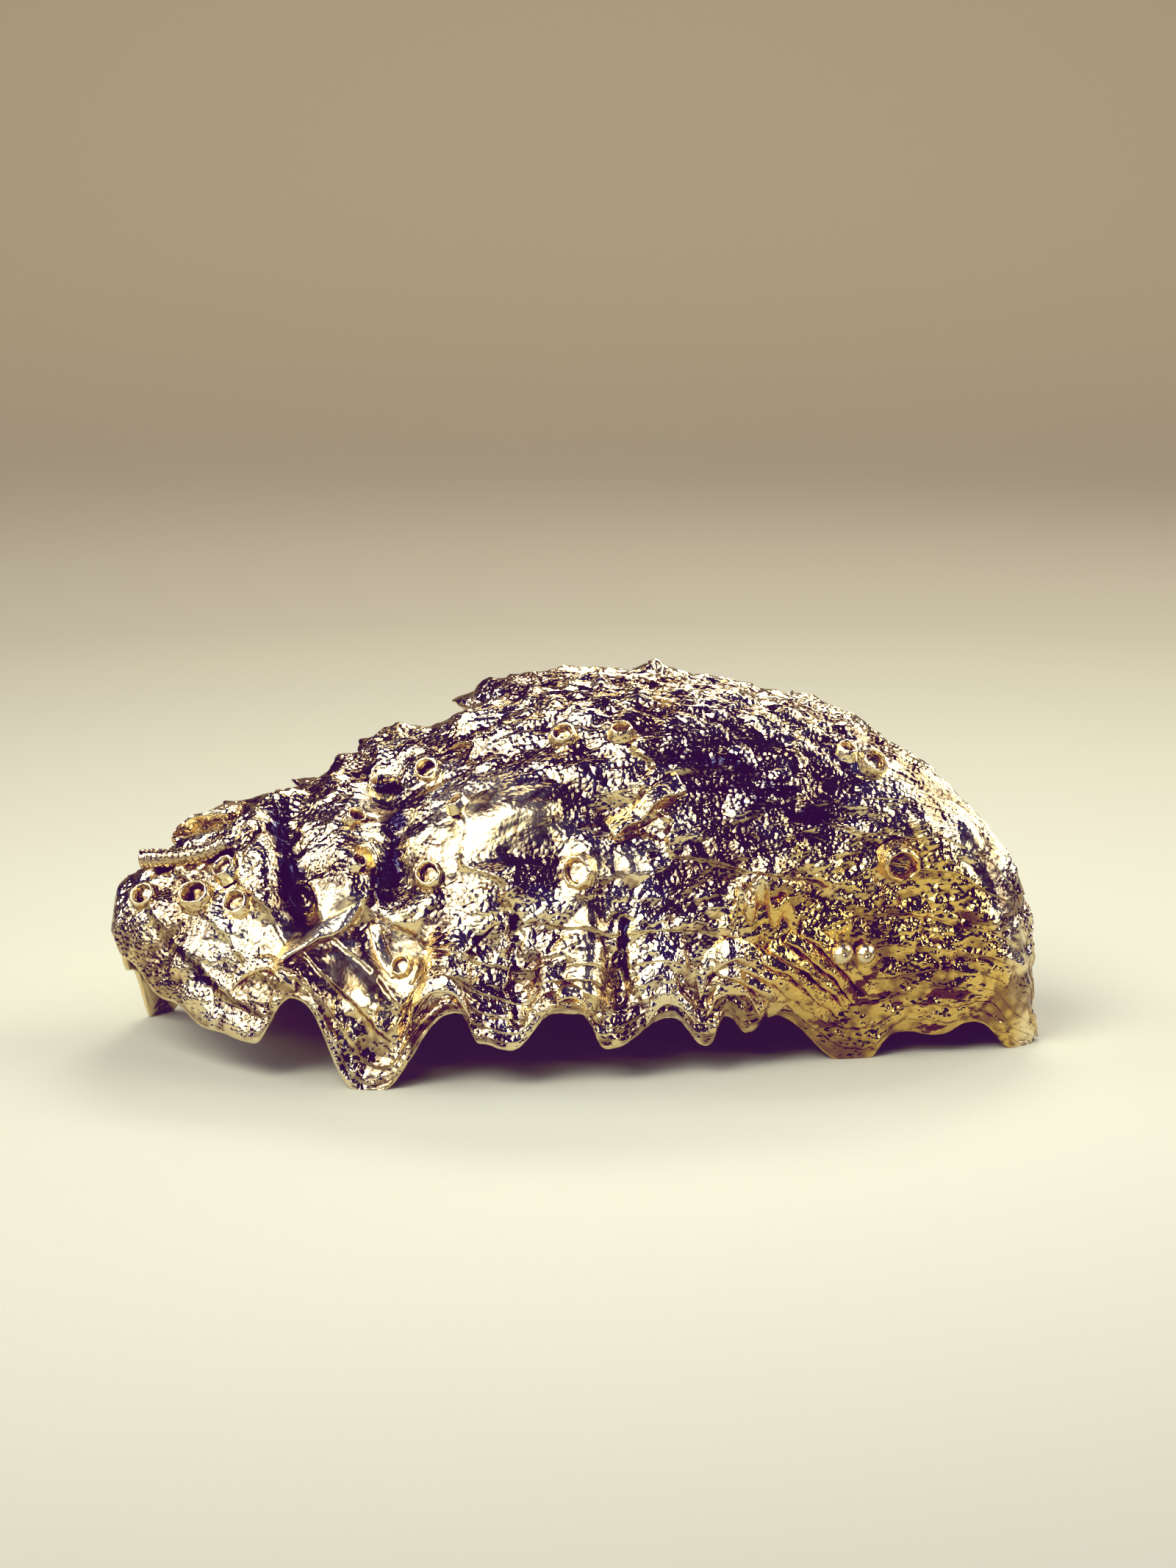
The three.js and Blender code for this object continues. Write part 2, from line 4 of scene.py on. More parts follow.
import bpy
import numpy as np
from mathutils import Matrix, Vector, noise
from mathutils.bvhtree import BVHTree


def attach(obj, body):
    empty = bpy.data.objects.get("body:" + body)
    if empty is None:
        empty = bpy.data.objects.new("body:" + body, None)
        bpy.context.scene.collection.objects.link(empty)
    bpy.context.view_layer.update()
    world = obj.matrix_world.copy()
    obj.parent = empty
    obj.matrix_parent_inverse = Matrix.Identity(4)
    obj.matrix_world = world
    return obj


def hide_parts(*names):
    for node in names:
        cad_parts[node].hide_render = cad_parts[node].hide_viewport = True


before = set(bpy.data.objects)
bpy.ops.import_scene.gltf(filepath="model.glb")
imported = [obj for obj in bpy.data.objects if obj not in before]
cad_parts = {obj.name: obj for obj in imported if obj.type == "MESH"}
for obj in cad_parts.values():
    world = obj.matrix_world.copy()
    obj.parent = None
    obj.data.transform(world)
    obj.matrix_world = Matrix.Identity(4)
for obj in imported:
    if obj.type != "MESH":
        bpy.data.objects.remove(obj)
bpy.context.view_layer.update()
print("frame loaded")

# lengths are in mm as measured along the shell, and cadOrigin is where the frame's origin lies in them
cadOrigin = np.array([-0.329, 2.575, 0])


def toFrame(points):
    return (np.asarray(points, dtype=float) - cadOrigin) / 1000


# the camera comes first
cameraView = {
    "lens": 100,  # on a 36 mm sensor
    "distance": 560,
    "elevation": 12,  # degrees above the table
    "lookAt": (1.4, 0, 33.1),
}


def makeCamera(view):
    angle = math.radians(view["elevation"])
    back = Vector((0, -math.cos(angle), math.sin(angle)))
    data = bpy.data.cameras.new("studioCamera")
    data.lens = view["lens"]
    data.sensor_width = 36
    data.clip_start = 0.01
    cam = bpy.data.objects.new("studioCamera", data)
    cam.location = Vector(toFrame(view["lookAt"])) + back * view["distance"] / 1000
    cam.rotation_euler = (-back).to_track_quat("-Z", "Y").to_euler()
    bpy.context.collection.objects.link(cam)
    bpy.context.scene.camera = cam


makeCamera(cameraView)


def smooth(v):
    v = np.clip(v, 0, 1)
    return v * v * (3 - 2 * v)


def mix(a, b, t):
    return a + (b - a) * t


def bell(distance, width):
    return np.exp(-((distance / width) ** 2))


# rows of values as dictionaries. A row may leave out its last ones
def table(keys, rows):
    return [dict(zip(keys, row)) for row in rows]


def unit(vectors):
    return vectors / np.maximum(np.linalg.norm(vectors, axis=-1, keepdims=True), 1e-9)


# noise of -1 to 1 in lumps about size mm across
def lumpy(points, size, seed=0):
    shift = Vector((seed * 7.31, seed * 3.17, seed * 11.9))
    flat = np.reshape(points, (-1, 3)) / size
    values = [noise.noise(Vector(p) + shift) for p in flat]
    return np.reshape(values, np.shape(points)[:-1])


# rounded grains of 0 to 1 about size mm across, with sharp creases between them
def grains(points, size, seed=0):
    shift = Vector((seed * 5.7, seed * 9.3, seed * 2.9))
    flat = np.reshape(points, (-1, 3)) / size
    values = [noise.voronoi(Vector(p) + shift)[0][0] for p in flat]
    return 1 - np.clip(np.reshape(values, np.shape(points)[:-1]), 0, 1) ** 2


# the shell's form, the same as in the CAD part up to the flare
shell = {
    "halfSpan": 60,
    "umbo": (57.6, -3),  # where growth began
    "crown": (12, 3.5),  # middle of the hollow
    "columns": 664,
    "nearMore": 2.1,  # how much closer together they are on the near side
    "rowSpacing": 0.0072,  # share of the way from umbo to rim
    "sparse": ((0.1, 4), (0.28, 2)),  # up to this share of the way, only every so many columns are used
    "innerRows": 24,
    "meanRay": 50,  # about the length from umbo to rim
    "drawnInBelow": 15,  # the height from which the foot is drawn in
    "foldReach": 9,  # how far up the side a flute is still felt
    "foldRoundness": 0.5,
    "ripple": 1.6,  # how far the ridge above an arch stands out
    "undercut": 0.5,  # how far each ledge overhangs its step
    "rimWall": 0.9,
    "crownWall": 4.2,
    "flare": 1.3,  # how far the middle tongues of the near side turn out beyond the CAD part
    "flareFrom": (-13, 29),  # along x
    "flareFade": 6,
}

# height of the ridge, then y and z of the rim, drawn-in foot and squareness of the cross-section for the near
# side and for the far side, then how much more closely growth lines lie near the rim. One line for each 15
# degrees of the half turn from beak to bill
stations = [
    (0.5, (-3, 0.5, 1, 2.3), (-3, 0.5, 1, 2.3), 2.2),
    (18.2, (-7, 2.5, 1, 2.3), (4, 1, 1, 2.5), 2.2),
    (28.4, (-10.5, 3, 2.5, 2.3), (11, 1.5, 1, 2.5), 2.2),
    (36.9, (-13, 2.5, 3.5, 2.3), (18, 2, 1, 2.5), 2.2),
    (43, (-16, 4.5, 3, 2.2), (24, 2, 0.5, 2.5), 2.2),
    (45.8, (-20.5, 4.5, 1.5, 2), (28, 2, 0, 2.5), 2.2),
    (46.2, (-23.5, 5, 0, 1.8), (30, 2, 0, 2.5), 2.2),
    (40.4, (-25.5, 5.5, -1, 1.65), (30.5, 2, 0, 2.5), 2.1),
    (33.4, (-24.8, 4.5, -1.5, 1.6), (27.5, 1.5, 0, 2.5), 1.8),
    (29.8, (-20, 5.4, -1, 1.65), (21, 1.5, -0.5, 2.5), 1.5),
    (24.5, (-14, 8.6, 0, 1.8), (13, 2.5, -0.5, 2.5), 1.3),
    (20, (-8.5, 13, 0, 2), (6, 7, 0, 2.4), 1.15),
    (15, (-3, 15, 0, 2.2), (-3, 15, 0, 2.2), 1.15),
]
crests = np.array([s[0] for s in stations], dtype=float)
nearRim = np.array([s[1] for s in stations], dtype=float)
farRim = np.array([s[2] for s in stations], dtype=float)
rolls = np.array([s[3] for s in stations], dtype=float)
lastStation = len(stations) - 1

# tongues and arches of the rim: x, height above the table, lean outwards
nearFolds = np.array([
    (-60, 15, 0), (-58, 12.6, 0), (-52, 8.4, 0), (-45, 5.9, 0.3), (-38.3, 5.3, 1), (-35, 11.2, -1),
    (-23.8, -0.4, 1.2), (-15.2, 9.7, -1.4), (-10.6, 6.2, 0.8), (-6.4, 5.4, 1), (-2.4, 9.4, -1),
    (0.4, 9.2, -1), (4.5, 4.9, 1), (11.6, 7.8, -1), (16.3, 4.3, 1), (19.2, 7.3, -0.8), (21.6, 5.2, 0.4),
    (26, 6.4, -0.8), (38.2, -0.5, 0.8), (45.2, 3.3, -0.3), (49, 2.8, 0), (53, 4.2, -0.2), (58.6, -0.5, 0),
])
farFolds = np.array([
    (-60, 15, 0), (-59, 8, 0), (-55.5, -0.5, 0.5), (-50, 3.6, -0.6), (-43, -0.4, 1), (-34, 5, -1.2),
    (-27, 1.2, 1), (-20.5, 4.2, -1), (-11, -0.4, 1.2), (-2, 5.4, -1.2), (5, 1.6, 0.8), (11.5, 3.8, -0.8),
    (20, 0.2, 0.9), (29.5, 3.4, -0.6), (38, -0.5, 0.5), (47, 2.4, 0), (58.6, -0.5, 0),
])

# growth ledges: share of the way to the rim, then height of the step at bill, beak, near side and far side
rimLedges = 0.88  # from this share on they fade out on the tongues
ledges = [
    (0.21, 0.4, 0.1, 0.2, 0.4),
    (0.363, 0.6, 0.1, 0.3, 0.6),
    (0.566, 1.5, 0.2, 0.4, 0.8),
    (0.685, 1.7, 0.3, 0.5, 0.9),
    (0.775, 1.5, 0.3, 0.5, 1),
    (0.84, 1, 0.4, 0.6, 1.1),
    (0.904, 2.8, 0.4, 1, 1.2),
    (0.959, 0.9, 0.5, 0.9, 0.9),
]

# lumps and ribs, placed as seen from their own side: x along the shell, up across the line of sight
lumps = table(("at", "radius", "height", "far"), [
    ((9.9, 46.5), 2.2, 1.8),
    ((-8.5, 45), 5.5, 2.1),
    ((-24.5, 40), 4.5, 1.6),
    ((-19, 34.5), 5, -1.6),
    ((-11, 27), 7.5, 1.3),
    ((3, 28.5), 3.4, -1.6),
    ((24, 20.5), 3.2, 1.3),
    ((34.5, 11.5), 5.5, 1.2),
    ((44, 17), 7, -0.9),
    ((-13, 13), 3, -1.3),
    ((-24, 3), 4.5, 1.6),
    ((-26.5, 12.5), 4.5, -1.6),
    ((14.5, 31), 5, -1),
    ((-20, 26), 6, 1.4, True),
    ((14, 18), 7, 1.2, True),
    ((32, 28), 8, -1, True),
])
ribs = table(("from", "to", "width", "height", "far"), [
    ((2, 26), (1.5, 6), 2.2, 1.2),
    ((-10, 20), (-15.5, 10), 2.4, 1.1),
    ((-30.5, 34), (-28.5, 18), 2.4, 1.3),
    ((-25.5, 34), (-23, 20), 2.6, -1.6),
    ((-41, 27), (-38.5, 17), 2.6, 1.1),
    ((-37.5, 28), (-34.5, 16), 2.3, -1.4),
    ((44, 28), (56, 6), 2.4, 1),
    ((-34, 26), (-38, 8), 3, 1.2, True),
    ((2, 34), (-2, 8), 3, 1.2, True),
    ((30, 26), (38, 6), 3, 1, True),
])


# smooth curve from b to c, between their neighbours a and d, at share f
def spline(a, b, c, d, f):
    curve = (2 * a - 5 * b + 4 * c - d) * f**2 + (3 * b - a - 3 * c + d) * f**3
    return 0.5 * (2 * b + (c - a) * f + curve)


# the same through values of the stations, which past the ends goes on round the other side
def alongStations(values, others, place):
    v = np.array([others[1], *values, others[-2]])
    i = np.clip(np.floor(place).astype(int), 0, lastStation - 1)
    return spline(v[i], v[i + 1], v[i + 2], v[i + 3], place - i)


def rimValue(isNear, place, column):
    near = alongStations(nearRim[:, column], farRim[:, column], place)
    far = alongStations(farRim[:, column], nearRim[:, column], place)
    return np.where(isNear, near, far)


def placeAlong(x):
    return np.arccos(np.clip(x / shell["halfSpan"], -1, 1)) / math.pi * lastStation


# points of the plain dome above (x, y)
def domePoints(x, y):
    place = placeAlong(x)
    crestY = mix(shell["umbo"][1], shell["crown"][1], 1 - (x / shell["halfSpan"]) ** 2)
    isNear = y < crestY
    reach = rimValue(isNear, place, 0) - crestY
    across = np.clip((y - crestY) / np.where(np.abs(reach) < 1e-6, 1e-6, reach), 0, 1)
    power = rimValue(isNear, place, 3)
    share = (1 - across**power) ** (1 / power)
    rim = rimValue(isNear, place, 1)
    return np.stack([x, y, rim + (alongStations(crests, crests, place) - rim) * share], axis=-1)


def foldAt(folds, x):
    i = np.clip(np.searchsorted(folds[:, 0], x, side="right"), 1, len(folds) - 1)
    a, b = folds[i - 1], folds[i]
    t = smooth((x - a[..., 0]) / (b[..., 0] - a[..., 0]))
    t = mix(t, smooth(t), shell["foldRoundness"])
    return mix(a[..., 1], b[..., 1], t), mix(a[..., 2], b[..., 2], t)


# where the growth rays end: t runs 0 to 1 along the far side and 1 to 2 back along the near side
def rayEnds(t):
    turn = np.mod(t, 2)
    isNear = turn >= 1
    place = np.where(isNear, 2 - turn, turn) * lastStation
    x = shell["halfSpan"] * np.cos(place / lastStation * math.pi)
    return isNear, x, rimValue(isNear, place, 0), alongStations(rolls, rolls, place)


# points of the smooth fluted body, at share q of the way from the centre of the rays to the rim
def bodyPoints(t, q, centre=shell["umbo"]):
    t, q = np.broadcast_arrays(t, q)
    isNear, endX, endY, roll = rayEnds(t)
    along = 1 - (1 - np.clip(q, 0, 1)) ** roll
    p = domePoints(mix(centre[0], endX, along), mix(centre[1], endY, along))
    fluteX = mix(endX, p[..., 0], 1 - (endX / shell["halfSpan"]) ** 4)
    place = placeAlong(fluteX)
    rim = np.stack([fluteX, rimValue(isNear, place, 0), rimValue(isNear, place, 1)], axis=-1)
    outward = rim - (*shell["crown"], 0)
    outward[..., 2] = 0
    outward = unit(outward)
    near, far = foldAt(nearFolds, fluteX), foldAt(farFolds, fluteX)
    rise = np.where(isNear, near[0], far[0]) - rim[..., 2]
    lean = np.where(isNear, near[1], far[1])
    fromRim = np.linalg.norm(p - rim, axis=-1)
    low = 1 - np.clip((p[..., 2] - rim[..., 2]) / shell["drawnInBelow"], 0, 1)
    reach = shell["foldReach"]
    ridge = np.clip(rise / 4, -1, 1) * shell["ripple"] * bell(fromRim - 0.8 * reach, 0.6 * reach)
    (start, end), fade = shell["flareFrom"], shell["flareFade"]
    flared = smooth((fluteX - start) / fade) * smooth((end - fluteX) / fade) * isNear
    push = lean * bell(fromRim, 0.4 * reach) + ridge - rimValue(isNear, place, 2) * low**2
    push = push + shell["flare"] * flared * bell(fromRim, 0.55 * reach)
    p = p + outward * push[..., None]
    p[..., 2] += rise * bell(fromRim, reach)
    return p


def bodyNormals(t, q, centre=shell["umbo"]):
    t, q = np.broadcast_arrays(t, np.maximum(q, 0.03))
    along = bodyPoints(t, q + 0.01, centre) - bodyPoints(t, q - 0.01, centre)
    across = bodyPoints(t + 0.004, q, centre) - bodyPoints(t - 0.004, q, centre)
    return unit(np.cross(along, across))


# height of a ledge's step on each side of the shell; the last ones fade out on the tongues
def ledgeStep(ledge, t):
    at, bill, beak, near, far = ledge
    isNear, endX, endY, _ = rayEnds(t)
    lean = np.where(isNear, foldAt(nearFolds, endX)[1], foldAt(farFolds, endX)[1])
    fade = mix(0.25, 1, smooth(0.5 - 0.5 * lean)) if at > rimLedges else 1
    outX, outY = endX - shell["crown"][0], endY - shell["crown"][1]
    lengthwise = outX**2 * np.where(outX < 0, bill, beak)
    crosswise = outY**2 * np.where(outY < 0, near, far)
    uneven = 0.8 + 0.35 * np.sin(t * 26 + at * 40) * np.sin(t * 15 + at * 23)  # each in its own way
    return (lengthwise + crosswise) / (outX**2 + outY**2) * uneven * fade


# triangles and quads between two rings of points, where one may have half as many as the other
def strip(upper, lower):
    steps = max(len(upper), len(lower))
    faces = []
    for c in range(steps):
        a, b = (upper[((c + k) * len(upper) // steps) % len(upper)] for k in (0, 1))
        d, e = (lower[((c + k) * len(lower) // steps) % len(lower)] for k in (0, 1))
        corners = [a, d, e, b]
        faces.append(tuple(dict.fromkeys(corners)))
    return faces


def closedRings(rings):
    faces = []
    for upper, lower in zip(rings, rings[1:]):
        faces += strip(upper, lower)
    return faces


def addRing(points, rings, ring):
    rings.append(list(range(len(points), len(points) + len(ring))))
    points.extend(ring)


def turnAngles(count):
    return np.arange(count) / count * 2 * math.pi


# two directions across a normal
def sidesOf(normal, up):
    side = unit(np.cross(normal, up))
    return side, np.cross(normal, side)


def circle(centre, sides, radius, angle):
    side, other = sides
    return centre + side * (radius * np.cos(angle))[:, None] + other * (radius * np.sin(angle))[:, None]


# columns spaced evenly along the fluted rim, closer together on the near side
def columnPlaces(count):
    t = np.linspace(0, 2, 4001)
    rim = bodyPoints(t, 1)
    lengths = np.linalg.norm(np.diff(rim, axis=0), axis=1) * np.where(t[1:] > 1, shell["nearMore"], 1)
    total = np.concatenate([[0], np.cumsum(lengths)])
    return np.interp(np.arange(count) / count * total[-1], total, t)


# the place of a surface that is seen from one side at (x, up), or the nearest one above or below that
def seenAt(tree, at, far=False):
    angle = math.radians(cameraView["elevation"])
    away = -1 if far else 1
    sight = Vector((0, away * math.cos(angle), -math.sin(angle)))
    upward = Vector((0, away * math.sin(angle), math.cos(angle)))
    steps = np.arange(0, 30, 0.3)  # tries farther and farther up and down
    for height in at[1] + np.stack([-steps, steps], axis=-1).ravel():
        point, normal, _, _ = tree.ray_cast(Vector((at[0], 0, 0)) + upward * height - sight * 200, sight)
        if point:
            return np.array(point), np.array(-normal if normal.dot(sight) > 0 else normal)
    raise ValueError(f"nothing is seen at {at}")


def distanceToPath(points, path):
    nearest = np.full(points.shape[:-1], np.inf)
    for a, b in zip(path, path[1:]):
        share = np.clip((points - a) @ (b - a) / ((b - a) @ (b - a)), 0, 1)
        nearest = np.minimum(nearest, np.linalg.norm(points - a - share[..., None] * (b - a), axis=-1))
    return nearest


print("shell form ready")

# barnacles that grow on the oyster, placed as seen
barnacle = {
    "segments": 28,
    "ribs": 9,
    "ribDepth": 0.09,  # share of the radius
    "crater": 0.65,  # share of the radius
    "oval": 0.07,
    "wavyRim": 0.08,
    "proud": 0.3,
    "evenRound": (1.3, 0.45),  # the shell is smoother around each: share of the radius, and how smooth
    "places": table(("at", "radius", "height", "far"), [
        ((-55.2, 18.1), 1.8, 0.9),
        ((-48.2, 18.1), 2.3, 1.1),
        ((-42.6, 17.2), 2.1, 1),
        ((-44.5, 21.4), 1.9, 0.9),
        ((-34.8, 17.4), 2.3, 1.2),
        ((-27.6, 22.4), 1.3, 0.7),
        ((-24.7, 31.7), 2.2, 1.2),
        ((-28.2, 27.9), 1.5, 0.8),
        ((-18.9, 34.1), 1.8, 0.9),
        ((-18.4, 20.9), 2, 0.9),
        ((0.2, 21.4), 2.3, 1.1),
        ((-21.8, 9.6), 1.5, 0.7),
        ((5.6, 38.8), 1.6, 0.8),
        ((-1.7, 38.5), 1.7, 0.8),
        ((40.8, 22.4), 2.7, 1.3),
        ((37.5, 35), 1.9, 1),
        ((34.2, 36.4), 1.5, 0.8),
        ((-14.9, 29.8), 1.5, 0.8),
        ((-30, 14), 2.3, 1.2, True),
        ((24, 30), 2.1, 1.1, True),
        ((28.4, 27.8), 1.7, 0.9, True),
    ]),
}

# finer relief of the outside, in mm
roughness = {
    "facets": (6, 1),  # size and height of the broken facets
    "knobs": (2.2, 0.6),
    "grains": (1.1, 0.4),
    "lines": (1.1, 0.05),  # spacing and height of the fine growth lines
    "lineSpan": 58,  # the longest way from umbo to rim, which they divide
    "lineWaves": (9, 2.7),  # size of their waves, and reach in lines
    "crestMore": 0.6,  # extra share of knobs and grains where the shell faces up
    "warp": (4, 0.8),  # size and reach of the noise that pushes facets and grains about
    "bites": (6, 0.009),  # size of the bites in the ledges, and their depth as a share of the way to the rim
    "ledgeWaves": 0.018,  # likewise
    "innerWaves": ((9, 0.12), (3, 0.05)),  # size and height of the waves of the hollow
}
# areas that are smoother than the rest, as seen: middle, radius and how smooth
smoothAreas = table(("at", "radius", "by"), [
    ((-25, 8), 4.5, 0.9),
    ((-29, 9), 3, 0.9),
    ((-34, 14), 2.6, 0.9),
    ((-29.5, 16.4), 2.6, 0.9),
    ((-20, 12), 3, 0.7),
    ((-6, 28.5), 4, 0.9),
    ((6.5, 21.8), 2.2, 0.9),
    ((1.8, 22), 2, 0.8),
    ((1.6, 15), 2.6, 0.8),
    ((1.4, 9), 2.6, 0.8),
    ((-13, 27), 6, 0.85),
    ((50.5, 25), 2.2, 0.9),
    ((52.5, 21), 2.2, 0.9),
    ((54.5, 17), 2.2, 0.9),
    ((55.8, 12), 2.2, 0.9),
    ((56.6, 7.5), 2.2, 0.9),
    ((56, 2.5), 4, 0.7),
    ((34.5, 10.5), 3.5, 0.7),
    ((-35, 12), 5, 0.5),
    ((-37.6, 26), 2.5, 0.5),
    ((-36.4, 21), 2.5, 0.5),
    ((-26, 30), 3, 0.5),
    ((-25, 24), 3, 0.5),
])

# narrow creases of the outside, as seen, with how much brown painted shade they take; along the crest it is a
# painted reflection of the brown backdrop. A depth below zero makes a ridge
creases = table(("path", "width", "depth", "brown"), [
    ([(-37, 29), (-34, 17)], 1.8, 0.7, 0),
    ([(-40.5, 28), (-38.2, 17)], 1.8, -1.1, 0),
    ([(-24.5, 35), (-22, 21)], 2.2, 0.7, 0),
    ([(-29.6, 35), (-27.4, 20)], 2, -1.1, 0),
    ([(6.6, 21.5), (6.7, 22)], 1.7, -1.1, 0),
    ([(-7.5, 28.8), (-5, 28.6)], 2.2, -0.8, 0),
    ([(-28.5, 10.5), (-26, 6)], 2.4, -0.9, 0),
    ([(-7.8, 17), (-7.4, 3)], 0.9, 0.9, 0),
    ([(5.8, 15), (5.5, 4.5)], 0.8, 0.8, 0),
    ([(11.5, 33.4), (17, 34), (22.5, 33.2)], 0.8, 0.5, 1),
    ([(-27.6, 15), (-26.8, 15.8)], 1, 1.1, 0.9),
    ([(5.5, 30), (12, 24.5)], 1.6, 1.2, 0.8),
    ([(-12.5, 42), (-4.8, 41.8)], 0.6, 0.7, 0.8),
    ([(-9, 45.1), (-1.4, 46.2), (6, 45.6), (12, 45.6), (19.4, 45.2), (27, 42.7), (34.6, 39.5), (42.2, 35.1),
      (47.9, 30.7)], 2.2, 0.2, 1),
    ([(50.2, 25.5), (54, 17.5), (56.4, 9), (57, 4)], 1.7, -1, 0),
])

# painted shade and painted dark reflections, as seen, in valleys and creases and under the worm tube and a
# loose layer
darkPatches = table(("path", "width", "dark"), [
    ([(-38.5, 29), (-36.6, 22), (-34.4, 14.5)], 3.2, 0.66),
    ([(-24.5, 33.5), (-22.8, 27), (-23.6, 19)], 3.4, 0.66),
    ([(10, 38), (20, 33), (30, 27)], 7, 0.55),
    ([(1, 29), (4.5, 26)], 2.2, 0.45),
    ([(-50.5, 12), (-47, 7.5)], 2.4, 0.52),
    ([(-55.4, 21), (-45, 23.6)], 2, 0.62),
    ([(-7.8, 17), (-7.4, 3)], 0.9, 0.9),
    ([(5.8, 15), (5.5, 4.5)], 0.9, 0.9),
    ([(-14.8, 10.2), (-12.2, 13.4), (-9.8, 15.4)], 0.9, 0.9),
])

# the raised ring on the main tongue, open between its start and end, which are in radians
swirl = {"at": (-23.6, 3.4), "radius": 1.9, "from": 0.4, "to": 5.6, "width": 0.55, "height": 0.6}


def swirlRidge(settings):
    angle = np.linspace(settings["from"], settings["to"], 9)
    path = np.array(settings["at"]) + settings["radius"] * np.stack([np.cos(angle), np.sin(angle)], axis=-1)
    return {"path": path, "width": settings["width"], "depth": -settings["height"], "brown": 0}


creases.append(swirlRidge(swirl))

# loose edges of old growth layers; each is free on the side it faces
scale = {
    "length": 4,
    "edge": 0.6,
    "pitch": 0.35,  # between sections along the edge
    "ragged": (2.1, 0.5),  # size and depth of the bites in the edge
    "shadeBelow": 0.9,
    "shadeBrown": 0.9,
    "tip": (0.06, 0.6),  # share of the edge that is left off at its ends, and how blunt they are
    "places": [
        {"path": [(-38, 9.2), (-33.5, 11.8), (-29.5, 13.8), (-27.4, 15.2)], "faces": (-0.35, -1),
         "lift": 1.2},
        {"path": [(-26.4, 14.6), (-25.4, 11.2), (-23.2, 8)], "faces": (-1, -0.3), "lift": 0.9, "length": 2.2},
        {"path": [(4.5, 25.4), (8, 27.4), (11, 30.2), (13.8, 31.6)], "faces": (0.5, -1), "lift": 1.6,
         "length": 3},
        {"path": [(15.2, 5.2), (17, 8.6), (20, 9.9), (23.2, 8.4), (24.8, 5.6)], "faces": (0.1, -1),
         "lift": 1},
        {"path": [(19.4, 16.4), (20.5, 20), (21.7, 17.8), (23.2, 20.8), (24.7, 17.4), (26, 19), (27.6, 15.8)],
         "faces": (0, 1), "lift": 1.4},
        {"path": [(-9.5, 15.4), (-12, 13), (-14.8, 10.4)], "faces": (0.6, -0.8), "lift": 0.9},
        {"path": [(-52.4, 26), (-48, 27.2), (-43.6, 28.6)], "faces": (-0.3, -1), "lift": 1.8, "edge": 1.5},
        {"path": [(-30, 22), (-22, 15), (-12, 19)], "faces": (-0.2, -1), "lift": 1.4, "far": True},
        {"path": [(8, 27), (16, 22), (26, 24)], "faces": (0, -1), "lift": 1.3, "far": True},
    ],
}

# thin layers that sweep down to the foot near the beak: starts and ends of the lowest and of the highest one
sweep = {
    "count": 6,
    "starts": ((17, 8.5), (28, 13.5)),
    "ends": ((30.5, 1.2), (36.5, 5)),
    "bulge": 1,
    "faces": (-0.48, -0.88),
    "lift": 1.1,
    "length": 2.2,
}


def sweepPlaces(settings):
    look = {key: settings[key] for key in ("faces", "lift", "length")}
    for share in np.linspace(0, 1, settings["count"]):
        start, end = (mix(*np.array(settings[key]), share) for key in ("starts", "ends"))
        along = np.linspace(0, 1, 4)
        path = [mix(start, end, s) + (0, settings["bulge"] * math.sin(math.pi * s)) for s in along]
        yield {"path": path, **look}


# layers that hang over the arches of the rim: top of each, half its width and how far its ends drop
archLayer = {
    "faces": (0, -1),
    "lift": 0.9,
    "length": 2.5,
    "arches": [
        ((-39, 9), 4.2, 2.6),
        ((-17, 6.8), 3.9, 4.2),
        ((-0.8, 5.6), 3, 2.4),
        ((11.6, 5), 3.2, 3),
        ((19.6, 6.2), 3.4, 3.2),
        ((26.4, 4.4), 2.6, 2.4),
    ],
}


def archPlaces(settings):
    look = {key: settings[key] for key in ("faces", "lift", "length")}
    bend = np.linspace(-1, 1, 7)
    for (x, up), halfWidth, drop in settings["arches"]:
        yield {"path": list(zip(x + halfWidth * bend, up - drop * bend**2)), **look}


scale["places"] += [*sweepPlaces(sweep), *archPlaces(archLayer)]


# rows from umbo to rim: share of the way, ledge, lift by it, and tuck back under it. Each layer rises to its
# ledge, rolls over the edge and starts again a little under the overhang
def growthRows():
    rows = []
    start = 0
    for ledge in [*ledges, None]:
        end = ledge[0] if ledge else 1
        steps = max(3, round((end - start) / shell["rowSpacing"]))
        for i in range(1, steps + 1):
            rows.append((mix(start, end, i / steps), ledge, (i / steps) ** 2 if ledge else 0, 0))
        if ledge:
            rows.append((end, ledge, 0.6, 0.4 * shell["undercut"]))
            rows.append((end, ledge, 0, shell["undercut"]))
        start = end
    return rows


# the smooth body without relief, for placing things on it
def plainTree():
    around, rows = 200, 60
    t = 2 * np.arange(around) / around
    points = bodyPoints(t, np.linspace(0, 1, rows)[:, None]).reshape(-1, 3)
    rings = [list(range(around * i, around * (i + 1))) for i in range(rows)]
    return BVHTree.FromPolygons(points.tolist(), closedRings(rings))


def placeRelief():
    tree = plainTree()
    for entry in (*lumps, *smoothAreas):
        entry["centre"] = seenAt(tree, entry["at"], entry.get("far"))[0]
    for rib in ribs:
        ends = np.array(rib["from"]), np.array(rib["to"])
        rib["spots"] = [seenAt(tree, mix(*ends, s), rib.get("far"))[0] for s in np.linspace(0, 1, 5)]
    for entry in (*creases, *darkPatches):
        entry["spots"] = [seenAt(tree, at)[0] for at in entry["path"]]
    for place in scale["places"]:
        below = scale["shadeBelow"] * unit(np.array(place["faces"], dtype=float))
        place["shade"] = [seenAt(tree, at + below, place.get("far"))[0] for at in place["path"]]
    for place in barnacle["places"]:
        centre = seenAt(tree, place["at"], place.get("far"))[0]
        reach, by = barnacle["evenRound"]
        smoothAreas.append({"centre": centre, "radius": reach * place["radius"], "by": by})


